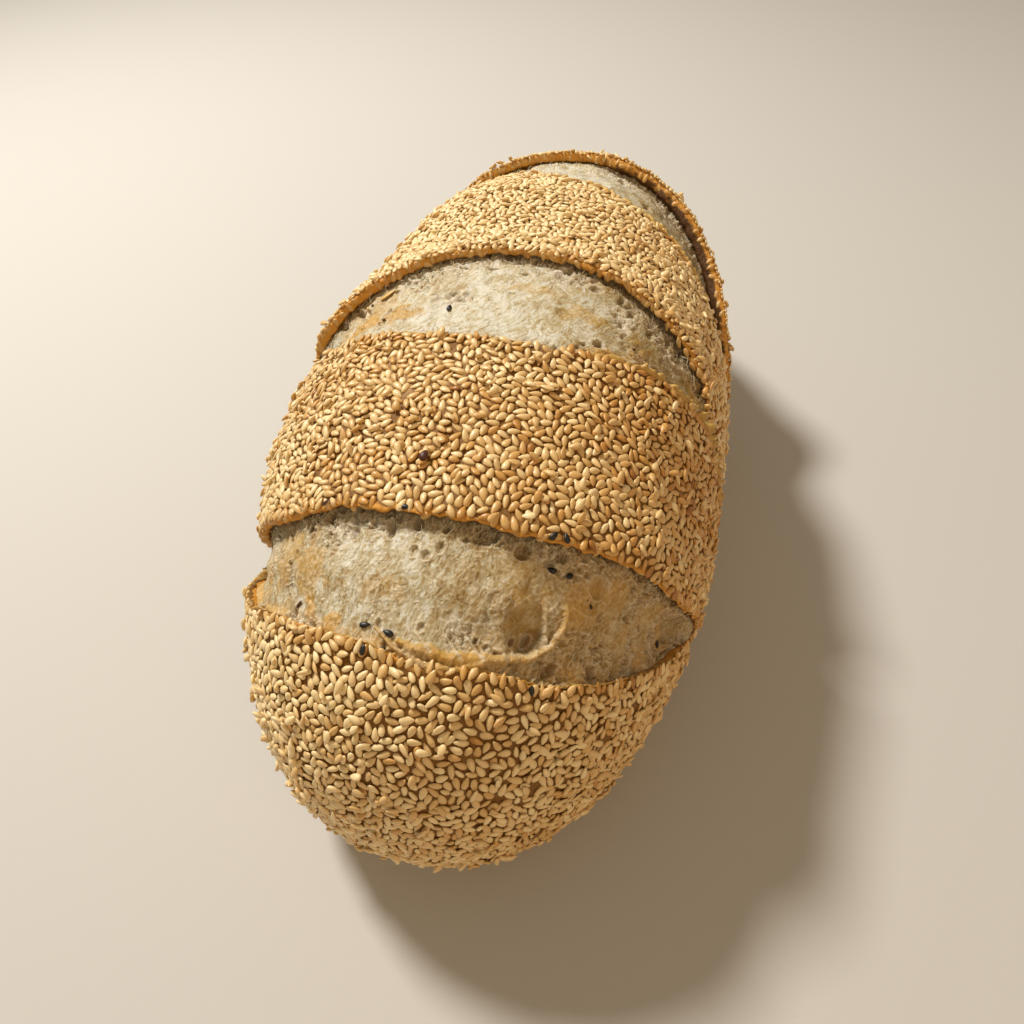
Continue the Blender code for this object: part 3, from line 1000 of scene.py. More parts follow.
@dataclass(frozen=True)
class Base:
    """The flat underside, a thin baked slab whose edge turns up into the sides."""

    segments: int = 240
    levels: tuple[float, ...] = (0.25, 0.6, 1.1, 1.7)

    def outline(self, turn: Array, level: float) -> Array:
        """Places on the crust at one height, by direction in plan."""
        x, y, zero = np.cos(turn), np.sin(turn), np.zeros(turn.shape)
        out, _ = halved(zero, zero + FORM.length, 30,
                        lambda middle: FORM.size(middle * x, middle * y, level - FORM.waist) < 1.0)
        return np.stack([out * x, out * y, zero + level], axis=-1)

    def build(self, material: Material) -> Object:
        """Models the slab, its underside faintly pitted."""
        turn = np.arange(self.segments) * 2.0 * math.pi / self.segments
        foot = self.outline(turn, self.levels[0])
        surface, toasts = [], []
        for share in np.linspace(0.04, 0.985, 60):
            ring = foot * np.array([share, share, 0.0])
            bump = 0.22 + 0.2 * noise(ring[:, 0] / 5.0, ring[:, 1] / 5.0, 61)
            bump += 0.16 * noise(ring[:, 0] / 1.9, ring[:, 1] / 1.9, 62)
            ring[:, 2] = np.maximum(bump, 0.0)
            surface.append(ring)
            toasts.append(0.45 + 0.3 * noise(ring[:, 0] / 16.0, ring[:, 1] / 16.0, 63))
        for level in self.levels:
            surface.append(self.outline(turn, level) * np.array([0.999, 0.999, 1.0]))
            toasts.append(np.full(turn.shape, 0.4))
        surface.append(surface[-1] * np.array([0.9, 0.9, 1.0]) + np.array([0.0, 0.0, 2.0]))
        toasts.append(toasts[-1])
        thing = lay_over("crust_base", np.array(surface), ((0.0, 0.0, 0.3), (0.0, 0.0, 4.0)),
                         {"toast": np.array(toasts), "seeded": np.zeros((len(surface), self.segments))}, -1.0)
        return put_on(thing, material)


# ---- Crumb ----

@dataclass(frozen=True)
class Hollow:
    """A bubble that the tear laid open, at its place seen from above."""

    x: float
    y: float
    half_x: float
    half_y: float
    depth: float
    turn: float = 0.0
    rim: float = 0.25
    # How dark its bowl is painted: painted shade.
    shade: float = 0.8


@dataclass(frozen=True)
class Ridge:
    """A golden fold of gluten that stands up from the crumb, through places seen from above."""

    points: tuple[tuple[float, float, float], ...]      # x, y and half-width
    height: float
    gold: float = 0.3
    pale: float = 0.0


@dataclass(frozen=True)
class Crumb:
    """The torn crumb of one opening, from under the rim to under the lip."""

    name: str
    score: int
    segments: int
    rings_across: int
    hollows: tuple[Hollow, ...] = ()
    ridges: tuple[Ridge, ...] = ()
    golden: tuple[tuple[float, float, float, float, float], ...] = ()   # x, y, half-sizes, amount
    toast: float = 0.3
    # At +X the crumb is darker: partly browner, partly painted shade.
    right_brown_and_shade: float = 0.3    # how much browner the crumb is at its +X end
    right_depth: float = 0.5    # how much deeper it lies at its +X end
    tuck: tuple[float, float, float] = (0.7, 0.9, 1.6)  # gap under the lip at -X, on the crown and at +X
    left_depth: float = 0.0     # how much deeper it lies at its -X end than the solid does
    openness: float = 0.0       # how much more of it is open bubbles
    membranes: float = 0.5      # how plain the fine network of torn bubble walls is
    rim_gold: float = 0.3       # how golden it is by the rim
    right_gold: float = 0.0     # and at its +X end
    sunk: float = 2.0           # how far its middle lies below the smooth loaf
    chance_hollows: int = 40
    hair_share: float = 0.4     # share of its threads that hang as hairs from under the lip
    lowest: float = 38.0
    foot: float = 0.7

    # Fine bubbles: size, least chance number, depth and the pattern's number.
    BUBBLES = ((4.0, 0.72, 1.25, 9), (2.0, 0.5, 0.75, 13), (1.0, 0.4, 0.32, 17))
    # The way down under the rim, from the inside: reach before its line and depth.
    UNDER_RIM = ((4.0, 8.0), (1.5, 1.6), (0.6, 0.5))
    # Share of the way across, and depth below the smooth loaf, as on the solid.
    PROFILE = ((0.0, 0.5), (0.05, 1.15), (0.28, 1.7), (0.52, 1.55), (0.76, 2.0), (0.92, 2.5), (1.0, 2.6))
    # The tear's end under the lip: reach beyond the lip's line, and what is left there of the gap
    # between the crumb and the underside of the lifted crust. The last rings lie inside the loaf.
    WALL = ((0.3, 1.0), (0.6, 1.02), (0.9, 1.03), (1.2, 1.0), (1.5, 0.93), (1.8, 0.8), (2.05, 0.6),
            (2.25, 0.38), (2.4, 0.15), (2.5, -0.1), (2.9, 0.6), (4.2, 3.0), (6.5, 8.0))

    @property
    def seed(self) -> int:
        """First of the numbers that name the opening's patterns."""
        return 100 + 40 * self.score

    def beneath(self, x: float, y: float) -> tuple[float, float]:
        """Across and along of the place whose crumb is seen at x, y from above."""
        angle = FORM.angle_at(x, y)
        outward = FORM.normal(np.array([y]), np.array([angle]))[0]
        x, y = x + self.sunk * outward[0], y + self.sunk * outward[1]
        return float(FORM.across(np.array(FORM.angle_at(x, y)))), float(y)

    def away(self, oval: tuple[float, ...], across: Array, along: Array) -> Array:
        """Distance from an oval's middle, in units of its half-sizes.

        Args:
            oval: x and y of its middle seen from above, its half-sizes and its turn in radians.
            across: the places' distance over the crust from the crown.
            along: their place on Y.

        Returns:
            One distance for each place.
        """
        x, y, half_x, half_y, turn = oval
        x, y = self.beneath(x, y)
        side, ahead = across - x, along - y
        c, s = math.cos(turn), math.sin(turn)
        return np.hypot((side * c + ahead * s) / half_x, (ahead * c - side * s) / half_y)

    def all_hollows(self) -> tuple[Hollow, ...]:
        """The hollows seen in the tear, and small ones by chance, most of them by the lip and at +X."""
        draw = np.random.default_rng(300 + self.score)
        score = FORM.scores[self.score]
        made = []
        for _ in range(self.chance_hollows):
            angle = math.radians(draw.choice((draw.uniform(15.0, 165.0), draw.uniform(15.0, 80.0))))
            share = float(draw.choice((draw.uniform(0.06, 0.95), 1.0 - abs(draw.normal(0.0, 0.10)),
                                       abs(draw.normal(0.04, 0.07))), p=(0.14, 0.56, 0.3)))
            rim, lip, _ = FORM.opening(score, np.array([angle]))
            y = float(rim[0] + np.clip(share, 0.03, 1.0) * (lip - rim)[0])
            place = FORM.point(np.array([y]), np.array([angle]))[0]
            size = draw.uniform(0.7, 1.9)
            if any(math.hypot(spot.x - place[0], spot.y - y) < 2.2 * spot.half_x for spot in self.hollows):
                continue
            made.append(Hollow(
                x=float(place[0]), y=y, half_x=size, half_y=size * draw.uniform(0.7, 1.5),
                depth=draw.uniform(0.5, 1.3), turn=draw.uniform(-0.7, 0.7), rim=draw.uniform(0.1, 0.25),
                shade=draw.uniform(0.45, 0.8)))
        return tuple(made) + self.hollows

    def beside(self, ridge: Ridge, across: Array, y: Array) -> Array:
        """Distance from a ridge's line in units of its half-width."""
        knots = np.array([(*self.beneath(*point[:2]), point[2]) for point in ridge.points])
        best = np.full(across.shape, FAR_AWAY)
        for (x0, y0, w0), (x1, y1, w1) in zip(knots[:-1], knots[1:]):
            run_x, run_y = x1 - x0, y1 - y0
            share = ((across - x0) * run_x + (y - y0) * run_y) / (run_x ** 2 + run_y ** 2)
            share = np.clip(share, 0.0, 1.0)
            away = np.hypot(across - x0 - share * run_x, y - y0 - share * run_y)
            best = np.minimum(best, away / (w0 + share * (w1 - w0)))
        return best

    def relief(self, across: Array, along: Array, share: Array) -> tuple[Array, dict[str, Array]]:
        """Height of the torn surface and what its finish reads.

        Args:
            across: distance over the crust from the crown.
            along: place on Y.
            share: 0 at the rim, 1 at the lip.

        Returns:
            Height above the plain profile in millimetres, and numbers from 0 to 1 for toast, painted shade in
            the hollows and under the lip, bubbliness, pale webs and golden gluten, by name.
        """
        seed = self.seed
        wander = (across + 2.2 * noise(across / 12.0, along / 12.0, seed) + 0.10 * along
                  + 0.8 * noise(across / 3.5, along / 5.0, seed + 1))
        drift = (along + 2.0 * noise(across / 10.0, along / 13.0, seed + 2)
                 + 0.7 * noise(across / 4.0, along / 4.0, seed + 3))
        mounds = (0.5 * noise(wander / 9.0, drift / 11.0, seed + 4)
                  + 0.26 * noise(wander / 3.6, drift / 5.0, seed + 5))
        upright = 1.0 - np.abs(noise((wander - 0.5 * drift) / 1.0, drift / 4.2, seed + 6))
        slanted = 1.0 - np.abs(noise((wander + 0.5 * drift) / 0.95, (drift - 0.3 * wander) / 3.0, seed + 7))
        fibres = 0.55 * upright + 0.45 * slanted
        right = smooth_step(8.0, 48.0, across)
        under_lip = smooth_step(0.74, 0.97, share)
        by_rim = smooth_step(0.14, 0.02, share)
        open_here = smooth_step(-0.1, 0.6, noise(across / 8.0, along / 7.0, seed + 8) + 0.8 * under_lip
                                + 0.6 * by_rim + 0.5 * right - 0.35 + self.openness)
        pits, walls, web = self.bubbles(wander, drift, open_here, seed)
        grain = noise(wander / 0.8, drift / 1.0, seed + 20)
        first, second, own = cells(wander / 1.5, drift / 1.8, seed + 27)
        membrane = self.membranes * np.exp(-((second - first) / 0.16) ** 2) * (own > 0.3)
        height = mounds + 0.11 * (fibres - 0.7) + 0.10 * grain + walls - pits + 0.16 * membrane
        blotch = (noise(wander / 6.5, drift / 9.0, seed + 21)
                  + 0.6 * noise(wander / 2.4, drift / 4.5, seed + 22))
        # The toast also holds painted shade: a little darker under the lip, and darker at +X.
        toast = (self.toast + 0.13 * blotch + 0.30 * (fibres - 0.75) + 0.14 * mounds
                 + self.right_brown_and_shade * right + 0.16 * by_rim + 0.04 * under_lip)
        gold = (self.rim_gold * by_rim * (1.0 + 0.8 * blotch)
                + self.right_gold * right * (1.0 + 0.8 * blotch))
        # Painted shade: darker in the pits of the bubbles and under the lip.
        values = {"toast": toast, "hollow_shade": 0.34 * pits + 0.24 * under_lip * smooth_step(0.9, 1.08, share),
                  "cellular": open_here, "web": np.maximum(web, 0.3 * membrane), "gold": gold}
        self.sink_hollows(across, along, height, values)
        height = self.gild(across, along, height, values)
        height = self.raise_ridges(across, along, grain, height, values)
        return height, {label: np.clip(numbers, 0.0, 1.0) for label, numbers in values.items()}

    def bubbles(self, wander: Array, drift: Array, open_here: Array, seed: int) -> tuple[Array, Array, Array]:
        """Three sizes of fine bubbles in the torn surface.

        Args:
            wander: distance across, bent as the dough was pulled.
            drift: the same along.
            open_here: how much of each place is open bubbles.
            seed: names the pattern.

        Returns:
            Their depth, the height of the walls between them and how pale those show.
        """
        pits, walls, web = 0.0, 0.0, 0.0
        for size, least, depth, number in self.BUBBLES:
            first, second, own = cells(wander / size, drift / (size * 1.25), seed + number)
            chosen = (own > least + 0.25 * (1.0 - open_here)) * open_here
            pits = pits + depth * smooth_step(0.04, 0.5, second - first) * chosen
            wall = np.exp(-((second - first) / 0.12) ** 2) * chosen
            walls = walls + 0.24 * wall
            web = np.maximum(web, 0.6 * wall * smooth_step(0.9, 2.0, np.array(size)))
        return pits, walls, web

    def sink_hollows(self, across: Array, along: Array, height: Array, values: dict[str, Array]) -> None:
        """Sinks the open hollows into the height, with smooth bowls and raised rims, and paints shade in
        them.
        """
        hollow_shade, web, cellular = values["hollow_shade"], values["web"], values["cellular"]
        for spot in self.all_hollows():
            away = self.away((spot.x, spot.y, spot.half_x, spot.half_y, spot.turn), across, along)
            near = away < 1.8
            ragged = 1.0 + 0.14 * noise(across[near] / 1.5, along[near] / 1.5, self.seed + 23)
            part = away[near] * ragged
            bowl = np.clip(1.0 - part ** 2.6, 0.0, 1.0) ** 0.75
            ring = np.exp(-((part - 1.05) / (0.2 / max(spot.half_x, 0.7) + 0.04)) ** 2)
            calm = np.clip(1.0 - part ** 4, 0.0, 1.0) * (0.93 if spot.half_x > 3.0 else 0.6)
            height[near] = height[near] * (1.0 - calm) - spot.depth * bowl + spot.rim * ring
            hollow_shade[near] = np.maximum(hollow_shade[near] * (1.0 - calm), spot.shade * bowl)
            web[near] = np.maximum(web[near] * (1.0 - calm), 1.3 * spot.rim * ring)
            cellular[near] = cellular[near] * (1.0 - calm)

    def gild(self, across: Array, along: Array, height: Array, values: dict[str, Array]) -> Array:
        """Turns the golden patches golden and returns the height with their rough raised skin."""
        for *oval, amount in self.golden:
            away = self.away((*oval, 0.0), across, along)
            away = away * (1.0 + 0.5 * noise(across / 1.8, along / 2.2, self.seed + 18))
            there = smooth_step(1.15, 0.6, away)
            values["gold"] = np.maximum(values["gold"], 1.7 * amount * there)
            values["toast"] = values["toast"] + 0.5 * amount * there
            height = height + amount * there * (0.35 + 0.7 * noise(across / 0.9, along / 0.9, self.seed + 19))
        return height

    def raise_ridges(self, across: Array, along: Array, grain: Array, height: Array,
                     values: dict[str, Array]) -> Array:
        """Colours the folds of gluten and returns the height with them, a little rough by the grain."""
        for ridge in self.ridges:
            ragged = 1.0 + 0.34 * noise(across / 1.3, along / 1.3, self.seed + 25)
            fold = np.clip(1.0 - (self.beside(ridge, across, along) * ragged) ** 2, 0.0, 1.0) ** 0.6
            height = height * (1.0 - 0.7 * fold) + fold * ridge.height * (1.0 + 0.2 * grain)
            for label, full in (("gold", ridge.gold), ("hollow_shade", 0.0), ("web", ridge.pale)):
                values[label] = values[label] * (1.0 - fold) + fold * full
        return height

    def surface(self, angle: Array) -> tuple[Array, dict[str, Array]]:
        """Places and attributes of the crumb, as [ring, meridian, ...]."""
        score = FORM.scores[self.score]
        rim, lip, openness = FORM.opening(score, angle)
        shares = np.linspace(0.0, 1.0, self.rings_across)
        places, depths = zip(*self.PROFILE)
        shifts = (-0.04, -0.02, 0.0, 0.02, 0.04)        # the profile's corners are rounded over this
        depth = sum(np.interp(shares + shift, places, depths) for shift in shifts) / len(shifts)
        side = np.cos(angle)
        deeper = np.where(side < 0.0, score.side_depth + self.left_depth, self.right_depth)
        deepening = (1.0 + deeper * side ** 2) * openness
        rings = [(rim - reach, depths[0] * deepening + drop, -0.1) for reach, drop in self.UNDER_RIM]
        under = FORM.flap(score, angle) * openness - FORM.lip_rise(score, angle, openness)
        tuck = np.interp(side, (-1.0, 0.0, 1.0), self.tuck) * openness
        for part, low in zip(shares, depth):
            climb = float(smooth_step(0.6, 1.0, np.array(part)))
            low = low * deepening
            low = low * (1.0 - climb) + climb * np.minimum(low, under + tuck)
            rings.append((rim + part * (lip - rim), low, part))
        for reach, left in self.WALL:
            low = under + left * np.minimum(tuck, depths[-1] * deepening - under)
            rings.append((lip + reach * FORM.spread(openness), low, 1.0 + reach / 20.0))
        along = np.array([y for y, _, _ in rings])
        drop = np.array([low for _, low, _ in rings])
        share = np.array([part + 0.0 * angle for _, _, part in rings])
        turned = angle + 0.0 * along
        across = FORM.across(turned)
        plain = FORM.point(along, turned)
        plain += FORM.normal(along, turned) * (FORM.swell(along, turned) - drop)[..., None]
        height, values = self.relief(across, along, share)
        calm = np.clip(openness * 1.2 - 0.15, 0.1, 1.0)
        hidden = (share < -0.05) | (np.arange(len(rings))[:, None] >= len(rings) - 4)
        facing = unit(np.cross(np.gradient(plain, axis=0), np.gradient(plain, axis=1)), 1e-9)
        facing *= np.sign((facing * FORM.normal(along, turned)).sum(axis=2).mean())
        places = plain + facing * (height * calm * ~hidden)[..., None]
        pull = np.stack([across, along, 0.0 * along], axis=-1)
        return places, {**values, "pull": pull}

    def build(self, material: Material) -> Object:
        """Models the crumb as one closed body and dresses it."""
        angle = meridians(self.segments, self.lowest)
        surface, values = self.surface(angle)
        near_pole = (0.0, float(np.mean(surface[0][:, 1])), FORM.waist)
        far_pole = (0.0, float(np.mean(surface[-1][:, 1])), FORM.waist)
        thing = lay_over(self.name, surface, (near_pole, far_pole), values, self.foot)
        return put_on(thing, material)

    def threads(self, count: int, seed: int, material: Material) -> Object:
        """Fine dried gluten threads lying over the torn surface, along the pull.

        Args:
            count: how many threads there are.
            seed: for the chance of where they lie.
            material: their finish.

        Returns:
            The threads as one piece.
        """
        draw = np.random.default_rng(seed)
        angle = np.linspace(math.radians(-28.0), math.radians(208.0), 300)
        surface, values = self.surface(angle)
        outward = FORM.normal(surface[..., 1], FORM.angle_of(surface))
        rings, columns = surface.shape[:2]
        steps = 5
        start_ring = draw.uniform(3.0, rings - 8.0, count)
        hanging = draw.random(count) < self.hair_share
        by_lip = rings - 8.0 - np.abs(draw.normal(0.0, 0.07, count)) * rings
        start_ring = np.where(hanging, by_lip, start_ring)
        start_column = draw.uniform(2.0, columns - 3.0, count)
        score = FORM.scores[self.score]
        rim, lip, openness = FORM.opening(score, angle)
        inside = values["hollow_shade"][start_ring.astype(int), start_column.astype(int)] > 0.4
        wide = (np.interp(start_column, np.arange(columns), openness) > 0.5) & (hanging | ~inside)
        start_ring, start_column, hanging = start_ring[wide], start_column[wide], hanging[wide]
        count = len(start_ring)
        spacing_ring = np.interp(start_column, np.arange(columns), lip - rim) / self.rings_across
        spacing_column = abs(FORM.across(angle[0]) - FORM.across(angle[-1])) / columns
        across = FORM.across(np.interp(start_column, np.arange(columns), angle))
        ahead = start_ring * spacing_ring
        length = draw.gamma(2.4, 1.0, count) + 1.3
        heading = (0.2 + 0.7 * noise(across / 15.0, ahead / 15.0, seed)
                   + 0.4 * noise(across / 5.0, ahead / 6.0, seed + 1) + draw.normal(0.0, 0.3, count))
        curl = draw.normal(0.0, 0.45, count)
        travel = np.linspace(-0.5, 0.5, steps)[None] * length[:, None]
        turn = heading[:, None] + curl[:, None] * travel
        ring = start_ring[:, None] + travel * np.cos(turn) / spacing_ring[:, None]
        column = start_column[:, None] - travel * np.sin(turn) / spacing_column
        ring, column = np.clip(ring, 0.0, rings - 1.001), np.clip(column, 0.0, columns - 1.001)
        arch = np.sin(np.linspace(0.0, math.pi, steps)) ** 0.8
        rise = (draw.gamma(2.0, 0.05, count) * (1.0 + 4.5 * hanging))[:, None] * arch - 0.03
        paths = read_between(surface, ring, column) + read_between(outward, ring, column) * rise[..., None]
        widths = (draw.uniform(0.03, 0.065, count) * (1.0 + 0.6 * hanging))[:, None]
        widths = widths * (0.6 + 0.4 * arch[1:-1])
        golden = 0.35 * noise(across / 4.0, ahead / 6.0, seed + 2) + 0.35 * smooth_step(5.0, 45.0, across)
        tone = np.clip(draw.normal(0.30, 0.25, count) + golden - 0.2 * hanging, 0.0, 1.0)
        thing = joined_threads(self.name + "_threads", paths, widths, {"tone": tone})
        return put_on(thing, material)


# ---- Seeds ----

@dataclass(frozen=True)
class SeedModel:
    """One sesame seed, a flattened teardrop that points to +X."""

    length: float = 3.1
    width: float = 1.84
    thickness: float = 1.02

    def shape(self) -> tuple[Array, Array]:
        """Models the seed from a small sphere and returns its vertices and triangles."""
        deselect_all()
        bpy.ops.mesh.primitive_uv_sphere_add(segments=8, ring_count=5, radius=0.5 * MM)
        seed = bpy.context.object
        bpy.ops.object.mode_set(mode="EDIT")
        bpy.ops.mesh.select_all(action="SELECT")
        bpy.ops.transform.rotate(value=math.radians(90.0), orient_axis="Y", center_override=(0.0, 0.0, 0.0))
        bpy.ops.transform.resize(value=(self.length, self.width, self.thickness),
                                 center_override=(0.0, 0.0, 0.0))
        bpy.ops.mesh.quads_convert_to_tris()
        bpy.ops.object.mode_set(mode="OBJECT")
        shape, faces = triangles_of(seed)
        # Towards its tip the seed narrows, and thins less.
        share = np.clip(shape[:, 0] / self.length + 0.5, 0.0, 1.0)
        shape[:, 1] *= 1.09 - 0.58 * share ** 1.5
        shape[:, 2] *= 1.05 - 0.36 * share ** 1.5
        bpy.data.objects.remove(seed, do_unlink=True)
        return shape, faces


@dataclass(frozen=True)
class SeedCoat:
    """The dense coat of sesame over the bands of crust."""

    gap: float = 1.53           # least distance between two seeds' middles when they are thrown
    settle_rounds: int = 18     # how often the seeds push each other aside
    reach: float = 0.88         # half the distance between a seed's outer circles
    radii: tuple[float, float, float] = (0.86, 0.96, 0.68)
    within: float = 3.3         # distance from which two seeds can't touch
    most_push: float = 0.22     # how far a seed moves in a round
    most_spin: float = 0.25     # and by how many radians it turns
    sink: float = 0.26          # height of a seed's middle above the crust
    sink_spread: float = 0.09
    tone_spread: float = 0.18
    tilt: float = 11.0          # degrees by which seeds lean at random
    upper_share: float = 0.13   # share of seeds lying on top of others
    upper_tilt: float = 22.0
    upper_rise: float = 0.78    # how much higher those lie
    upper_spread: float = 0.10
    aside: float = 1.2          # how far to the side of the one below
    fused_tilt: float = 5.0
    fused_tone: float = 0.62
    fused_spread: float = 0.1
    lowest: float = 1.6         # height of the lowest seeds' middles
    deepest: float = 0.5        # how far into the table a seed goes that has been rubbed off
    kinds: tuple[tuple[str, float, float], ...] = (     # name, and its tones from and to
        ("pale", -1.0, 0.24), ("golden", 0.24, 0.40), ("toasted", 0.40, 2.0))
    seed: int = 7

    def seeded_triangles(self, band: Object, kind: float) -> Array:
        """Corners of a band's seeded triangles, in order of their places.

        Blender numbers the corners and faces of a cut mesh in another order in each run. Put in order by
        place, they give the same coat of seeds each time.

        Args:
            band: the piece of crust.
            kind: 1 for its plain crust and 0.5 for its lifted edge.

        Returns:
            Places in millimetres, as [triangle, corner, xyz].
        """
        places, faces = triangles_of(band)
        seeded = np.zeros(len(places), np.float32)
        band.data.attributes["seeded"].data.foreach_get("value", seeded)
        corners = places[faces[(np.abs(seeded[faces] - kind) < 0.1).all(axis=1)]]
        order = np.lexsort(np.moveaxis(corners, 2, 0), axis=-1)
        corners = np.take_along_axis(corners, order[..., None], axis=1)
        return corners[np.lexsort(corners.mean(axis=1).T)]

    def scatter(self, band: Object, kind: float, gap: float, draw: np.random.Generator) -> Array:
        """Throws seeds over a band's seeded crust, each at least a gap from the others.

        Args:
            band: the piece of crust.
            kind: 1 for its plain crust and 0.5 for its lifted edge.
            gap: least distance between two seeds.
            draw: source of chance.

        Returns:
            Places of the seeds.
        """
        a, b, c = self.seeded_triangles(band, kind).transpose(1, 0, 2)
        area = np.linalg.norm(np.cross(b - a, c - a), axis=1)
        throws = int(area.sum() / 2.0 * 1.3)
        chosen = draw.choice(len(area), throws, p=area / area.sum())
        u, v = draw.random(throws), draw.random(throws)
        flip = u + v > 1.0
        u, v = np.where(flip, 1.0 - u, u), np.where(flip, 1.0 - v, v)
        spots = a[chosen] + u[:, None] * (b - a)[chosen] + v[:, None] * (c - a)[chosen]
        keep, grid = [], {}
        steps = [(i, j, k) for i in (-1, 0, 1) for j in (-1, 0, 1) for k in (-1, 0, 1)]
        homes = np.floor(spots / gap).astype(int)
        for number, spot in enumerate(spots):
            if spot[2] < self.lowest:
                continue
            i, j, k = homes[number]
            near = [spots[other] for di, dj, dk in steps for other in grid.get((i + di, j + dj, k + dk), ())]
            if near and (((np.array(near) - spot) ** 2).sum(axis=1) < gap ** 2).any():
                continue
            grid.setdefault((i, j, k), []).append(number)
            keep.append(number)
        return spots[keep]

    def pairs(self, spots: Array) -> Array:
        """Every two seeds near enough to touch, as [pair, 2]."""
        tree = KDTree(len(spots))
        for number, spot in enumerate(spots):
            tree.insert(spot, number)
        tree.balance()
        found = [(number, other) for number, spot in enumerate(spots)
                 for _, other, _ in tree.find_range(spot, self.within) if other > number]
        return np.array(found)

    def settle(self, band: CrustBand, spots: Array, draw: np.random.Generator) -> tuple[Array, Array, Array]:
        """Lets the seeds push each other aside until they lie side by side.

        Args:
            band: the crust that they lie on.
            spots: their places.
            draw: source of chance.

        Returns:
            Places, outward directions and headings.
        """
        places, normals = FORM.on_crust(spots)
        heading = by_chance(normals, draw)
        circles = list(zip((-self.reach, 0.0, self.reach), self.radii))
        pairs = self.pairs(places)
        for turn in range(self.settle_rounds):
            if turn % 8 == 7:
                pairs = self.pairs(places)
            i, j = pairs[:, 0], pairs[:, 1]
            push, twist = np.zeros(places.shape), np.zeros(places.shape)
            for offset_i, radius_i in circles:
                arm_i = heading[i] * offset_i
                for offset_j, radius_j in circles:
                    arm_j = heading[j] * offset_j
                    between = places[i] + arm_i - places[j] - arm_j
                    away = np.linalg.norm(between, axis=1) + 1e-6
                    over = np.clip(radius_i + radius_j - away, 0.0, None) / away * 0.5
                    force = between * over[:, None]
                    turning_i, turning_j = np.cross(arm_i, force), np.cross(arm_j, -force)
                    for axis in range(3):
                        push[:, axis] += np.bincount(i, force[:, axis], len(places))
                        push[:, axis] -= np.bincount(j, force[:, axis], len(places))
                        twist[:, axis] += np.bincount(i, turning_i[:, axis], len(places))
                        twist[:, axis] += np.bincount(j, turning_j[:, axis], len(places))
            far = np.linalg.norm(push, axis=1, keepdims=True) + 1e-6
            places = places + push / far * np.minimum(far * 0.35, self.most_push)
            spin = np.clip((twist * normals).sum(axis=1) * 0.5, -self.most_spin, self.most_spin)
            heading = heading * np.cos(spin)[:, None] + np.cross(normals, heading) * np.sin(spin)[:, None]
            places[:, 1] = band.keep_inside(places)
            places, normals = FORM.on_crust(places)
            heading = unit(heading - normals * (heading * normals).sum(axis=1, keepdims=True))
        return places, normals, heading

    def lay(self, thing: Object, places: Array, normals: Array) -> tuple[Array, Array]:
        """Brings seeds from the smooth loaf down onto a band's real crust.

        Args:
            thing: the band.
            places: the seeds' places.
            normals: outward directions of the smooth loaf.

        Returns:
            Places on the crust and its own outward directions.
        """
        down, facing = places.copy(), normals.copy()
        for number, (place, normal) in enumerate(zip(places, normals)):
            start = Vector(place + normal * 6.0) * MM
            hit, spot, outward, _ = thing.ray_cast(start, Vector(-normal), distance=12.0 * MM)
            if not hit:
                _, spot, outward, _ = thing.closest_point_on_mesh(Vector(place) * MM)
            down[number] = np.array(spot) / MM
            facing[number] = outward
        return down, unit(facing + normals)

    def turned(self, normals: Array, heading: Array, tilt: float, draw: np.random.Generator) -> Array:
        """Sizes and turns of seeds, as [seed, 3, 3].

        Args:
            normals: outward directions.
            heading: directions of the seeds' tips.
            tilt: spread in degrees by which they lean.
            draw: source of chance.

        Returns:
            One matrix for each seed.
        """
        count = len(normals)
        lean = np.radians(draw.normal(0.0, tilt, (count, 2)))
        side = unit(np.cross(normals + heading * np.tan(lean[:, :1]), heading))
        upward = unit(np.cross(heading - normals * np.tan(lean[:, :1]), side))
        upward = unit(upward + side * np.tan(lean[:, 1:]))
        side = unit(np.cross(upward, heading))
        ahead = np.cross(side, upward)
        sizes = draw.normal((1.0, 1.0, 1.0), (0.08, 0.08, 0.11), (count, 3))
        return np.stack([ahead, side, upward], axis=2) * sizes[:, None, :]

    def tones(self, places: Array, band: CrustBand, draw: np.random.Generator) -> Array:
        """How dark each seed is: more on the crown, by the edges and at +X, less at -X in front."""
        patches = 0.12 * noise(places[:, 0] / 14.0, places[:, 1] / 14.0 + places[:, 2] / 20.0, 71)
        near, far = band.reaches(places)
        edge = 0.36 * np.exp(-np.maximum(near, 0.0) / 1.8) + 0.25 * np.exp(-np.maximum(far, 0.0) / 1.3)
        lift = 0.06 * smooth_step(40.0, 90.0, places[:, 2])
        pale = 0.04 * smooth_step(-10.0, -56.0, places[:, 0]) * smooth_step(20.0, -60.0, places[:, 1])
        warm = 0.18 * smooth_step(5.0, 50.0, places[:, 0]) * smooth_step(120.0, 10.0, places[:, 1])
        tone = draw.normal(band.tone, self.tone_spread, len(places))
        return np.clip(tone + patches + edge + lift + warm - pale, 0.0, 1.0)

    def fused(self, band: CrustBand, crust: Object, draw: np.random.Generator) -> tuple[Array, Array]:
        """Turns and middles of the browned seeds sunk in a band's lifted edge."""
        spots = self.scatter(crust, 0.5, band.edge_gap, draw)
        found = [crust.closest_point_on_mesh(Vector(spot) * MM) for spot in spots]
        places = np.array([np.array(spot) / MM for _, spot, _, _ in found])
        normals = np.array([np.array(outward) for _, _, outward, _ in found])
        heading = by_chance(normals, draw)
        return self.turned(normals, heading, self.fused_tilt, draw), places + normals * band.edge_sink

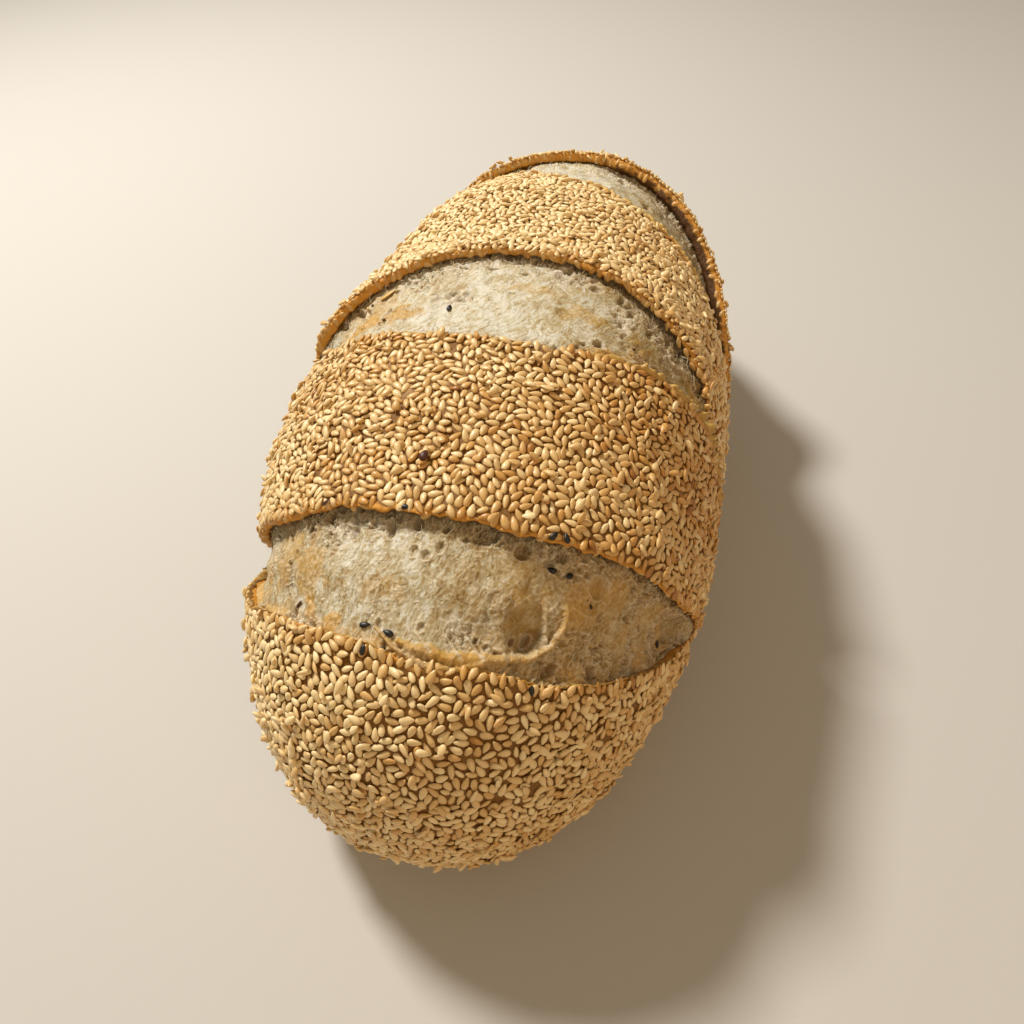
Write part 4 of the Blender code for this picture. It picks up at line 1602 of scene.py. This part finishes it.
    def build(self, band: CrustBand, crust: Object, model: Model, material: Material) -> list[Object]:
        """Covers one band.

        Args:
            band: the band's sizes.
            crust: its mesh.
            model: one seed's vertices and triangles.
            material: the seeds' finish.

        Returns:
            One piece for each kind of seed.
        """
        draw = np.random.default_rng(self.seed + len(band.name))
        spots = self.scatter(crust, 1.0, self.gap, draw)
        places, normals, heading = self.settle(band, spots, draw)
        held = draw.random(len(places)) >= band.bare_share
        places, normals, heading = places[held], normals[held], heading[held]
        upper = draw.random(len(places)) < self.upper_share
        aside = np.cross(normals, heading) * draw.uniform(-self.aside, self.aside, (len(places), 1))
        extra = places[upper] + aside[upper]
        extra[:, 1] = band.keep_inside(extra)
        extra, extra_normals = FORM.on_crust(extra)
        extra_heading = by_chance(extra_normals, draw)
        down, facing = self.lay(crust, places, normals)
        over, over_facing = self.lay(crust, extra, extra_normals)
        turns = np.concatenate([self.turned(facing, heading, self.tilt, draw),
                                self.turned(over_facing, extra_heading, self.upper_tilt, draw)])
        heights = self.sink + draw.normal(0.0, self.sink_spread, len(down))
        upper_heights = self.sink + draw.normal(self.upper_rise, self.upper_spread, len(over))
        middles = np.concatenate([down + facing * heights[:, None],
                                  over + over_facing * upper_heights[:, None]])
        tones = self.tones(middles, band, draw)
        if band.near is not None:
            edge_turns, edge_middles = self.fused(band, crust, draw)
            turns, middles = np.concatenate([turns, edge_turns]), np.concatenate([middles, edge_middles])
            edge_tones = draw.normal(self.fused_tone, self.fused_spread, len(edge_middles))
            tones = np.concatenate([tones, np.clip(edge_tones, 0.0, 1.0)])
        # The lowest seeds stand on the table, and one that would go deep into it has been rubbed off.
        lowest = middles[:, 2] - np.abs(turns[:, 2] @ model[0].T).max(axis=1)
        middles[:, 2] -= np.minimum(lowest, 0.0)
        left = lowest > -self.deepest
        turns, middles, tones = turns[left], middles[left], tones[left]
        made = []
        for kind, least, most in self.kinds:
            chosen = (tones >= least) & (tones < most)
            thing = joined_copies(f"seeds_{kind}_{band.name}", model, turns[chosen], middles[chosen],
                                  {"tone": tones[chosen]})
            made.append(put_on(thing, material))
        log.info("%s: %d seeds", band.name, len(middles))
        return made


# ---- Single things ----

def surface_at(x: float, y: float) -> tuple[Vector, Vector]:
    """The uppermost surface on the loaf over x, y in millimetres, and its outward direction."""
    angle = np.array([FORM.angle_at(x, y)])
    outward = Vector(FORM.normal(np.array([y]), angle)[0])
    deps = bpy.context.evaluated_depsgraph_get()
    start = Vector((x, y, 2.0 * FORM.height)) * MM
    _, spot, normal, _, _, _ = bpy.context.scene.ray_cast(deps, start, Vector((0.0, 0.0, -1.0)))
    return Vector(spot) / MM, (normal + outward).normalized()


@dataclass(frozen=True)
class TornSkin:
    """A ragged skin of baked crumb that stands up along a rim."""

    name: str
    score: int
    start: float            # degrees round the loaf, from
    end: float              # and to
    height: float
    lean: float             # how far its top leans over the crumb
    tone: float
    thickness: float = 0.3
    torn: float = 0.4       # how ragged its top is
    step: float = 0.28

    # Its section: share of the height, and place across in thicknesses.
    SECTION = ((-0.5, 0.5), (0.35, 0.55), (0.75, 0.4), (1.0, 0.0), (0.72, -0.4), (0.3, -0.55), (-0.5, -0.5))

    def build(self, material: Material, seed: int) -> Object:
        """Models the skin as one long thin body with a torn upper edge."""
        score = FORM.scores[self.score]
        length = abs(float(FORM.across(np.array(math.radians(self.start)))
                           - FORM.across(np.array(math.radians(self.end)))))
        count = int(length / self.step)
        angle = np.radians(np.linspace(self.start, self.end, count))
        rim, _, _ = FORM.opening(score, angle)
        base, outward = FORM.point(rim, angle), FORM.normal(rim, angle)
        across = FORM.across(angle)
        ends = np.sin(np.linspace(0.0, math.pi, count)) ** 0.5
        ragged = 0.6 + 0.30 * ripple(across, 2.8, seed) + self.torn * ripple(across, 0.9, seed + 1)
        tall = self.height * np.clip(ragged, 0.08, 1.3) * ends
        leaning = self.lean * (0.8 + 0.5 * ripple(across, 3.6, seed + 2)) * ends
        wave = 0.35 * ripple(across, 1.4, seed + 3)
        ahead = np.array([0.0, 1.0, 0.0])
        section = []
        for share, side in self.SECTION:
            y = 0.25 + leaning * max(share, 0.0) ** 1.4 + side * self.thickness + wave * max(share, 0.0)
            section.append(base + outward * (tall * share - 0.2)[:, None] + ahead * y[:, None])
        rings = np.stack(section, axis=1)
        sides = len(section)
        faces = between_rings(count, sides)
        last = (count - 1) * sides
        for side in range(1, sides - 1):
            faces += [(0, side + 1, side), (last, last + side, last + side + 1)]
        faces = np.array(faces)
        if self.start < self.end:
            faces = faces[:, ::-1]
        tone = np.full(count * sides, self.tone)
        thing = from_triangles(self.name, rings.reshape(-1, 3), faces, {"tone": tone})
        return put_on(thing, material)


class Fleck(Enum):
    """The few odd bits on the loaf, by length, width and thickness in millimetres."""

    BLACK_SEED = (2.4, 1.5, 0.9)
    DARK_SEED = (2.9, 2.3, 1.7)
    HUSK = (2.2, 0.9, 0.5)
    FLAKE = (5.2, 1.7, 0.5)
    CRUMB = (1.1, 0.8, 0.5)


@dataclass(frozen=True)
class FleckPlace:
    """Where one odd bit lies, seen from above, and how it is turned in degrees."""

    kind: Fleck
    x: float
    y: float
    turn: float
    lift: float = 0.25


def laid(kind: Fleck, *places: tuple[float, ...]) -> tuple[FleckPlace, ...]:
    """Odd bits of one kind, by x, y, turn and, where one lies higher, its lift."""
    return tuple(FleckPlace(kind, *place) for place in places)


def build_flecks(name: str, flecks: tuple[FleckPlace, ...], model: Model, material: Material) -> Object:
    """Lays odd bits of one finish on the loaf.

    Args:
        name: name of the piece.
        flecks: where they lie.
        model: one seed's vertices and triangles, as long, wide and thick as a plain sesame seed.
        material: their finish.

    Returns:
        The bits as one piece.
    """
    plain = SeedModel()
    turns, spots = [], []
    for fleck in flecks:
        spot, outward = surface_at(fleck.x, fleck.y)
        length, width, thickness = fleck.kind.value
        facing = outward.to_track_quat("Z", "Y").to_matrix()
        spin = Matrix.Rotation(math.radians(fleck.turn), 3, "Z")
        size = Matrix.Diagonal((length / plain.length, width / plain.width, thickness / plain.thickness))
        turns.append(np.array(facing @ spin @ size))
        spots.append(np.array(spot + outward * fleck.lift))
    thing = joined_copies(name, model, np.array(turns), np.array(spots), {})
    return put_on(thing, material)


# ---- Studio ----

@dataclass(frozen=True)
class Studio:
    """Floor, soft lights and the camera at the photograph's viewing angle."""

    camera_place: tuple[float, float, float] = (48.0, -172.9, 204.9)
    heading: float = 17.028         # degrees by which the camera looks to the left of +Y
    pitch: float = 48.27            # degrees below level
    roll: float = -4.69
    focal_pixels: float = 769.0     # of an image 1024 pixels wide
    image_pixels: float = 1024.0
    floor_size: float = 9000.0

    def camera(self) -> Object:
        """Adds the camera and makes it the scene's."""
        head, low, tip = (math.radians(value) for value in (self.heading, self.pitch, self.roll))
        level = Vector((math.cos(head), math.sin(head), 0.0))
        ahead = Vector((-math.sin(head), math.cos(head), 0.0))
        forward = ahead * math.cos(low) - Vector((0.0, 0.0, 1.0)) * math.sin(low)
        above = ahead * math.sin(low) + Vector((0.0, 0.0, 1.0)) * math.cos(low)
        right = level * math.cos(tip) + above * math.sin(tip)
        upward = above * math.cos(tip) - level * math.sin(tip)
        data = bpy.data.cameras.new("camera")
        data.sensor_width = 36.0
        data.lens = self.focal_pixels / self.image_pixels * data.sensor_width
        data.clip_start = 0.01
        made = bpy.data.objects.new("camera", data)
        place = Vector(self.camera_place) * MM
        made.matrix_world = Matrix((
            (right.x, upward.x, -forward.x, place.x), (right.y, upward.y, -forward.y, place.y),
            (right.z, upward.z, -forward.z, place.z), (0.0, 0.0, 0.0, 1.0)))
        bpy.context.scene.collection.objects.link(made)
        bpy.context.scene.camera = made
        return made

    def floor(self, material: Material) -> Object:
        """Adds the plain pale floor."""
        deselect_all()
        bpy.ops.mesh.primitive_plane_add(size=self.floor_size * MM)
        floor = bpy.context.object
        floor.name = "floor"
        floor.data.materials.append(material)
        return floor

    def area(self, name: str, place: tuple[float, float, float], size: float, power: float,
             colour: str) -> Object:
        """Adds a soft light at a place in metres that faces the loaf."""
        data = bpy.data.lights.new(name, "AREA")
        data.shape = "DISK"
        data.size = size
        data.energy = power
        data.color = linear(colour)[:3]
        lamp = bpy.data.objects.new(name, data)
        lamp.location = place
        lamp.rotation_euler = (Vector((0.0, 0.0, 0.04)) - Vector(place)).to_track_quat("-Z", "Y").to_euler()
        bpy.context.scene.collection.objects.link(lamp)
        return lamp

    def world(self, colour: str, strength: float) -> None:
        """An even pale surrounding."""
        world = bpy.data.worlds.new("studio")
        world.use_nodes = True
        feed(world.node_tree.nodes["Background"], {"Color": linear(colour), "Strength": strength})
        bpy.context.scene.world = world

    def build(self) -> None:
        """Sets the whole studio."""
        self.camera()
        self.floor(FloorFinish().material())
        self.area("key", place=(-0.57, 0.28, 0.90), size=0.20, power=14.5, colour="#fff8f0")
        self.area("fill", place=(0.7, -0.8, 0.7), size=1.2, power=4.6, colour="#ffd098")
        self.world("#f1e0c8", strength=0.34)
        bpy.context.scene.view_settings.view_transform = "Standard"


# ---- This loaf ----

BANDS = (
    CrustBand("near_end", near=None, far=0, toast=0.3, tone=0.18),
    CrustBand("front", near=0, far=1, tone=0.26, edge_gap=3.4, edge_sink=-0.42, scorch_and_shade_from=-0.75,
              floury=((-14.0, -42.0, 12.0), (6.0, -35.0, 8.0), (-30.0, -46.0, 9.0))),
    CrustBand("back", near=1, far=2, toast=0.12, tone=0.03, lip_margin=1.1, edge_gap=1.6, edge_sink=-0.2),
    CrustBand("far_end", near=2, far=None, toast=0.3, tone=0.2, lip_margin=1.0, edge_gap=1.7,
              edge_sink=-0.24))

# Hollows: x, y, half-sizes, depth, turn, rim and painted shade.
NEAR_HOLLOWS = tuple(Hollow(*numbers) for numbers in (
    (24.0, -92.4, 5.7, 5.0, 1.7, 0.35, 0.1, 0.1), (25.4, -94.2, 3.9, 2.6, 3.2, 0.45, 0.0, 0.5),
    (22.2, -95.4, 1.5, 1.0, 0.8, 0.2, 0.25, 1.0), (25.6, -94.2, 1.6, 1.1, 0.9, 0.6, 0.25, 1.0),
    (29.9, -96.6, 2.3, 1.3, 1.7, 0.5, 0.2), (15.2, -97.4, 0.9, 0.7, 0.9, 0.2, 0.3),
    (17.3, -97.9, 0.8, 0.7, 0.9, 0.8, 0.3), (13.0, -98.2, 0.7, 0.8, 0.7, 0.5, 0.3),
    (19.2, -98.4, 0.7, 0.6, 0.8, 0.1, 0.3), (21.0, -79.6, 2.2, 2.0, 1.4, 0.2, 0.25, 0.7),
    (36.6, -78.6, 3.1, 2.2, 0.45, -0.2, 0.3, 0.05), (-0.3, -84.5, 1.3, 1.4, 0.6, 0.0, 0.3, 0.2),
    (2.3, -85.1, 1.4, 1.2, 0.5, 0.0, 0.3, 0.2), (4.9, -83.2, 1.2, 1.4, 0.6, 0.3, 0.3, 0.3),
    (-21.9, -77.9, 1.3, 1.8, 2.2, 0.0, 0.1, 1.0), (28.5, -77.6, 1.8, 1.4, 1.4, 0.3, 0.2),
    (38.5, -88.5, 1.5, 1.1, 0.9, 0.3, 0.2), (-4.0, -98.4, 1.0, 1.3, 0.7, 0.3, 0.25, 0.4),
    (4.5, -97.6, 1.2, 1.0, 0.6, 0.3, 0.25, 0.4)))
MIDDLE_HOLLOWS = tuple(Hollow(*numbers) for numbers in (
    (31.9, -29.8, 1.9, 1.5, 1.8, 0.4, 0.3), (26.6, -22.9, 1.5, 1.8, 1.6, 0.5, 0.3),
    (40.7, -20.3, 1.8, 2.1, 1.6, 0.3, 0.3), (-20.0, -1.9, 3.2, 0.5, 1.5, 0.1, 0.3, 1.0),
    (-12.5, -1.2, 2.6, 0.45, 1.5, -0.05, 0.3, 1.0), (-4.0, -0.7, 3.0, 0.5, 1.5, 0.0, 0.3, 0.9),
    (4.6, -1.6, 2.0, 0.45, 1.3, 0.1, 0.3, 0.8)))

# Ridges: x, y and half-width of each knot, then height, gold and paleness. The first borders the cavity,
# and the one that goes down is the strand inside it.
NEAR_RIDGES = tuple(Ridge(*ridge) for ridge in (
    (((0.5, -100.4, 0.6), (4.0, -101.3, 1.1), (7.4, -100.9, 1.3), (10.4, -101.4, 0.9), (13.0, -100.7, 1.4),
      (17.0, -100.0, 1.2), (20.9, -98.7, 0.9), (25.6, -96.8, 0.8), (29.2, -93.4, 0.9), (30.8, -90.2, 1.2),
      (31.4, -87.6, 0.8), (31.2, -85.4, 0.35)), 1.5, 1.0, 0.0),
    (((30.6, -90.6, 0.8), (32.6, -90.2, 0.7), (33.8, -88.8, 0.4)), 1.0, 0.9, 0.1),
    (((3.6, -98.6, 0.2), (5.4, -99.7, 0.3), (7.4, -100.9, 0.45)), 0.6, 0.5, 0.4),
    (((9.8, -98.2, 0.2), (11.4, -99.6, 0.3), (13.0, -100.8, 0.5)), 0.7, 0.5, 0.4),
    (((13.8, -97.4, 0.2), (15.6, -98.8, 0.3), (17.2, -100.0, 0.5)), 0.7, 0.4, 0.5),
    (((-4.5, -98.8, 0.3), (0.0, -101.6, 0.5), (6.0, -103.2, 0.6), (12.0, -103.0, 0.5), (17.0, -100.6, 0.5)),
     1.1, 0.9, 0.05),
    (((19.0, -102.6, 0.3), (21.2, -100.6, 0.4), (23.4, -98.0, 0.4)), 0.9, 0.8, 0.1),
    (((25.4, -101.2, 0.5), (27.4, -98.6, 0.4), (27.6, -95.6, 0.3)), 0.9, 0.8, 0.15),
    (((18.8, -97.6, 0.3), (20.6, -97.5, 0.45), (21.6, -98.8, 0.5)), 0.7, 0.4, 0.3),
    (((23.4, -96.2, 0.16), (23.9, -94.6, 0.12), (24.6, -93.2, 0.1)), -1.6, 0.0, 0.4),
    (((28.0, -99.2, 0.5), (30.6, -98.6, 0.4), (33.2, -96.8, 0.45), (35.2, -94.6, 0.5), (38.4, -94.2, 0.4)),
     0.7, 0.8, 0.1),
    (((35.0, -94.8, 0.3), (35.2, -92.6, 0.25)), 0.5, 0.3, 0.4),
    (((-23.5, -82.5, 0.5), (-25.2, -78.5, 0.6), (-23.0, -75.5, 0.5)), 0.5, 0.4, 0.0)))

# Golden patches: x, y, half-sizes and amount.
NEAR_GOLDEN = (
    (-38.0, -93.0, 6.0, 3.0, 0.45), (-30.0, -96.2, 3.0, 1.8, 0.55), (-20.5, -96.5, 2.4, 2.0, 0.6),
    (-14.0, -98.5, 3.0, 1.8, 0.5), (14.0, -102.8, 10.0, 1.8, 0.5), (28.6, -100.4, 2.4, 2.0, 0.6),
    (33.0, -98.5, 3.4, 1.8, 0.5), (41.0, -95.5, 5.0, 1.8, 0.45), (-41.0, -85.0, 10.0, 7.0, 0.36),
    (46.0, -86.0, 11.0, 9.0, 0.4), (34.0, -88.0, 5.0, 6.0, 0.25), (-24.0, -89.0, 8.0, 6.0, 0.3),
    (-33.0, -83.0, 8.0, 6.0, 0.3), (-6.0, -92.0, 8.0, 2.4, 0.18))
MIDDLE_GOLDEN = (
    (-36.0, -12.0, 13.0, 9.0, 0.22), (-41.5, -7.4, 5.0, 4.0, 0.55), (-36.0, -17.0, 7.0, 5.0, 0.5),
    (-25.0, -19.0, 5.0, 3.0, 0.45), (28.0, -25.5, 4.5, 2.2, 0.5), (36.0, -21.0, 4.5, 4.0, 0.4),
    (50.3, -8.0, 5.0, 8.0, 0.3), (8.0, -8.0, 7.0, 2.5, 0.2), (22.0, -14.0, 6.0, 3.0, 0.25))

# For the chance of where the threads lie, and of how the first torn skin runs.
THREAD_SEED = 11
SKIN_SEED = 500

# The crumb of each opening, and how many threads lie on it.
CRUMBS = (
    (Crumb("crumb_near", score=0, segments=500, rings_across=128, hollows=NEAR_HOLLOWS, ridges=NEAR_RIDGES,
           golden=NEAR_GOLDEN, toast=0.36, right_brown_and_shade=0.24, right_depth=1.9, left_depth=0.9,
           tuck=(0.8, 1.7, 1.5), chance_hollows=60, membranes=1.0, rim_gold=0.9, right_gold=0.5), 2300),
    (Crumb("crumb_middle", score=1, segments=480, rings_across=118, hollows=MIDDLE_HOLLOWS,
           golden=MIDDLE_GOLDEN, toast=0.2, right_brown_and_shade=0.34, tuck=(0.5, 0.8, 2.2), chance_hollows=50), 2000),
    (Crumb("crumb_far", score=2, segments=420, rings_across=78, toast=0.12, right_brown_and_shade=0.35,
           tuck=(0.5, 0.9, 3.2), chance_hollows=20), 800))

# Torn skins: name, score, degrees from and to, height, lean, tone, then thickness and how torn.
SKINS = tuple(TornSkin(*numbers) for numbers in (
    ("skin_near_corner", 0, 196.0, 163.0, 3.4, 3.4, 0.6),
    ("skin_near_left", 0, 170.0, 118.0, 1.9, 1.5, 0.75),
    ("skin_near_middle", 0, 112.0, 66.0, 1.1, 0.9, 0.6),
    ("skin_near_right", 0, 70.0, 16.0, 1.3, 1.0, 0.55),
    ("skin_middle_right", 1, 70.0, 12.0, 3.0, 1.6, 0.4, 0.7, 0.32),
    ("skin_middle_left", 1, 160.0, 75.0, 0.9, 0.5, 0.6),
    ("skin_far", 2, 120.0, 20.0, 1.3, 0.6, 0.1)))

BLACK_SEEDS = (
    *laid(Fleck.BLACK_SEED, (-11.3, -18.0, 160.0), (27.0, -80.4, 150.0), (30.5, -80.1, 140.0),
          (29.4, -76.6, 60.0), (26.9, -77.1, 20.0), (-3.4, -78.0, 10.0), (-6.8, -99.2, 20.0),
          (-1.6, -100.1, 150.0), (-5.4, -104.3, 95.0), (27.3, -102.1, 85.0), (50.0, -71.6, 60.0)),
    *laid(Fleck.CRUMB, (35.5, -82.3, 70.0), (-1.8, -102.9, 0.0)))
FLAKES = (*laid(Fleck.FLAKE, (-31.6, -8.2, 95.0, 0.5)), *laid(Fleck.CRUMB, (-37.0, -10.8, 0.0, 0.3)))
SCRAPS = laid(Fleck.HUSK, (38.6, -23.0, 100.0, 0.8))
DARK_SEEDS = laid(Fleck.DARK_SEED, (-2.5, -66.7, 100.0, 0.9))
HUSKS = (
    *laid(Fleck.HUSK, (-22.2, -77.0, 80.0), (-23.9, -94.9, 95.0), (37.6, -27.3, 90.0)),
    *laid(Fleck.CRUMB, (34.8, -18.8, 60.0), (-36.0, -10.1, 0.0), (-28.5, -20.0, 30.0)))


def main() -> None:
    """Builds the loaf and its studio."""
    logging.basicConfig(level=logging.INFO, format="%(name)s: %(message)s")
    Studio().build()
    crust = CrustFinish().material()
    crumb = CrumbFinish().material()
    sesame = SeedFinish().material()
    crusts = [band.build(crust) for band in BANDS]
    Base().build(crust)
    gluten = GlutenFinish("fine dried gluten", "#dccfae", "#ae8a42").material()
    honey = GlutenFinish("honey-brown gluten", "#cfae62", "#906521").material()
    for opening, threads in CRUMBS:
        opening.build(crumb)
        opening.threads(threads, THREAD_SEED, gluten)
    for number, skin in enumerate(SKINS):
        skin.build(honey, SKIN_SEED + 10 * number)
    model = SeedModel().shape()
    for band, thing in zip(BANDS, crusts):
        SeedCoat().build(band, thing, model, sesame)
    black = DarkSeedFinish("black sesame", "#16130f").material()
    brown = DarkSeedFinish("scorched husk", "#4a2413").material()
    for name, flecks, finish in (("seeds_black", BLACK_SEEDS, black), ("flakes", FLAKES, honey),
                                 ("white_scrap", SCRAPS, gluten), ("husk_seed", DARK_SEEDS, brown),
                                 ("husks", HUSKS, brown)):
        build_flecks(name, flecks, model, finish)


if __name__ == "__main__":
    main()
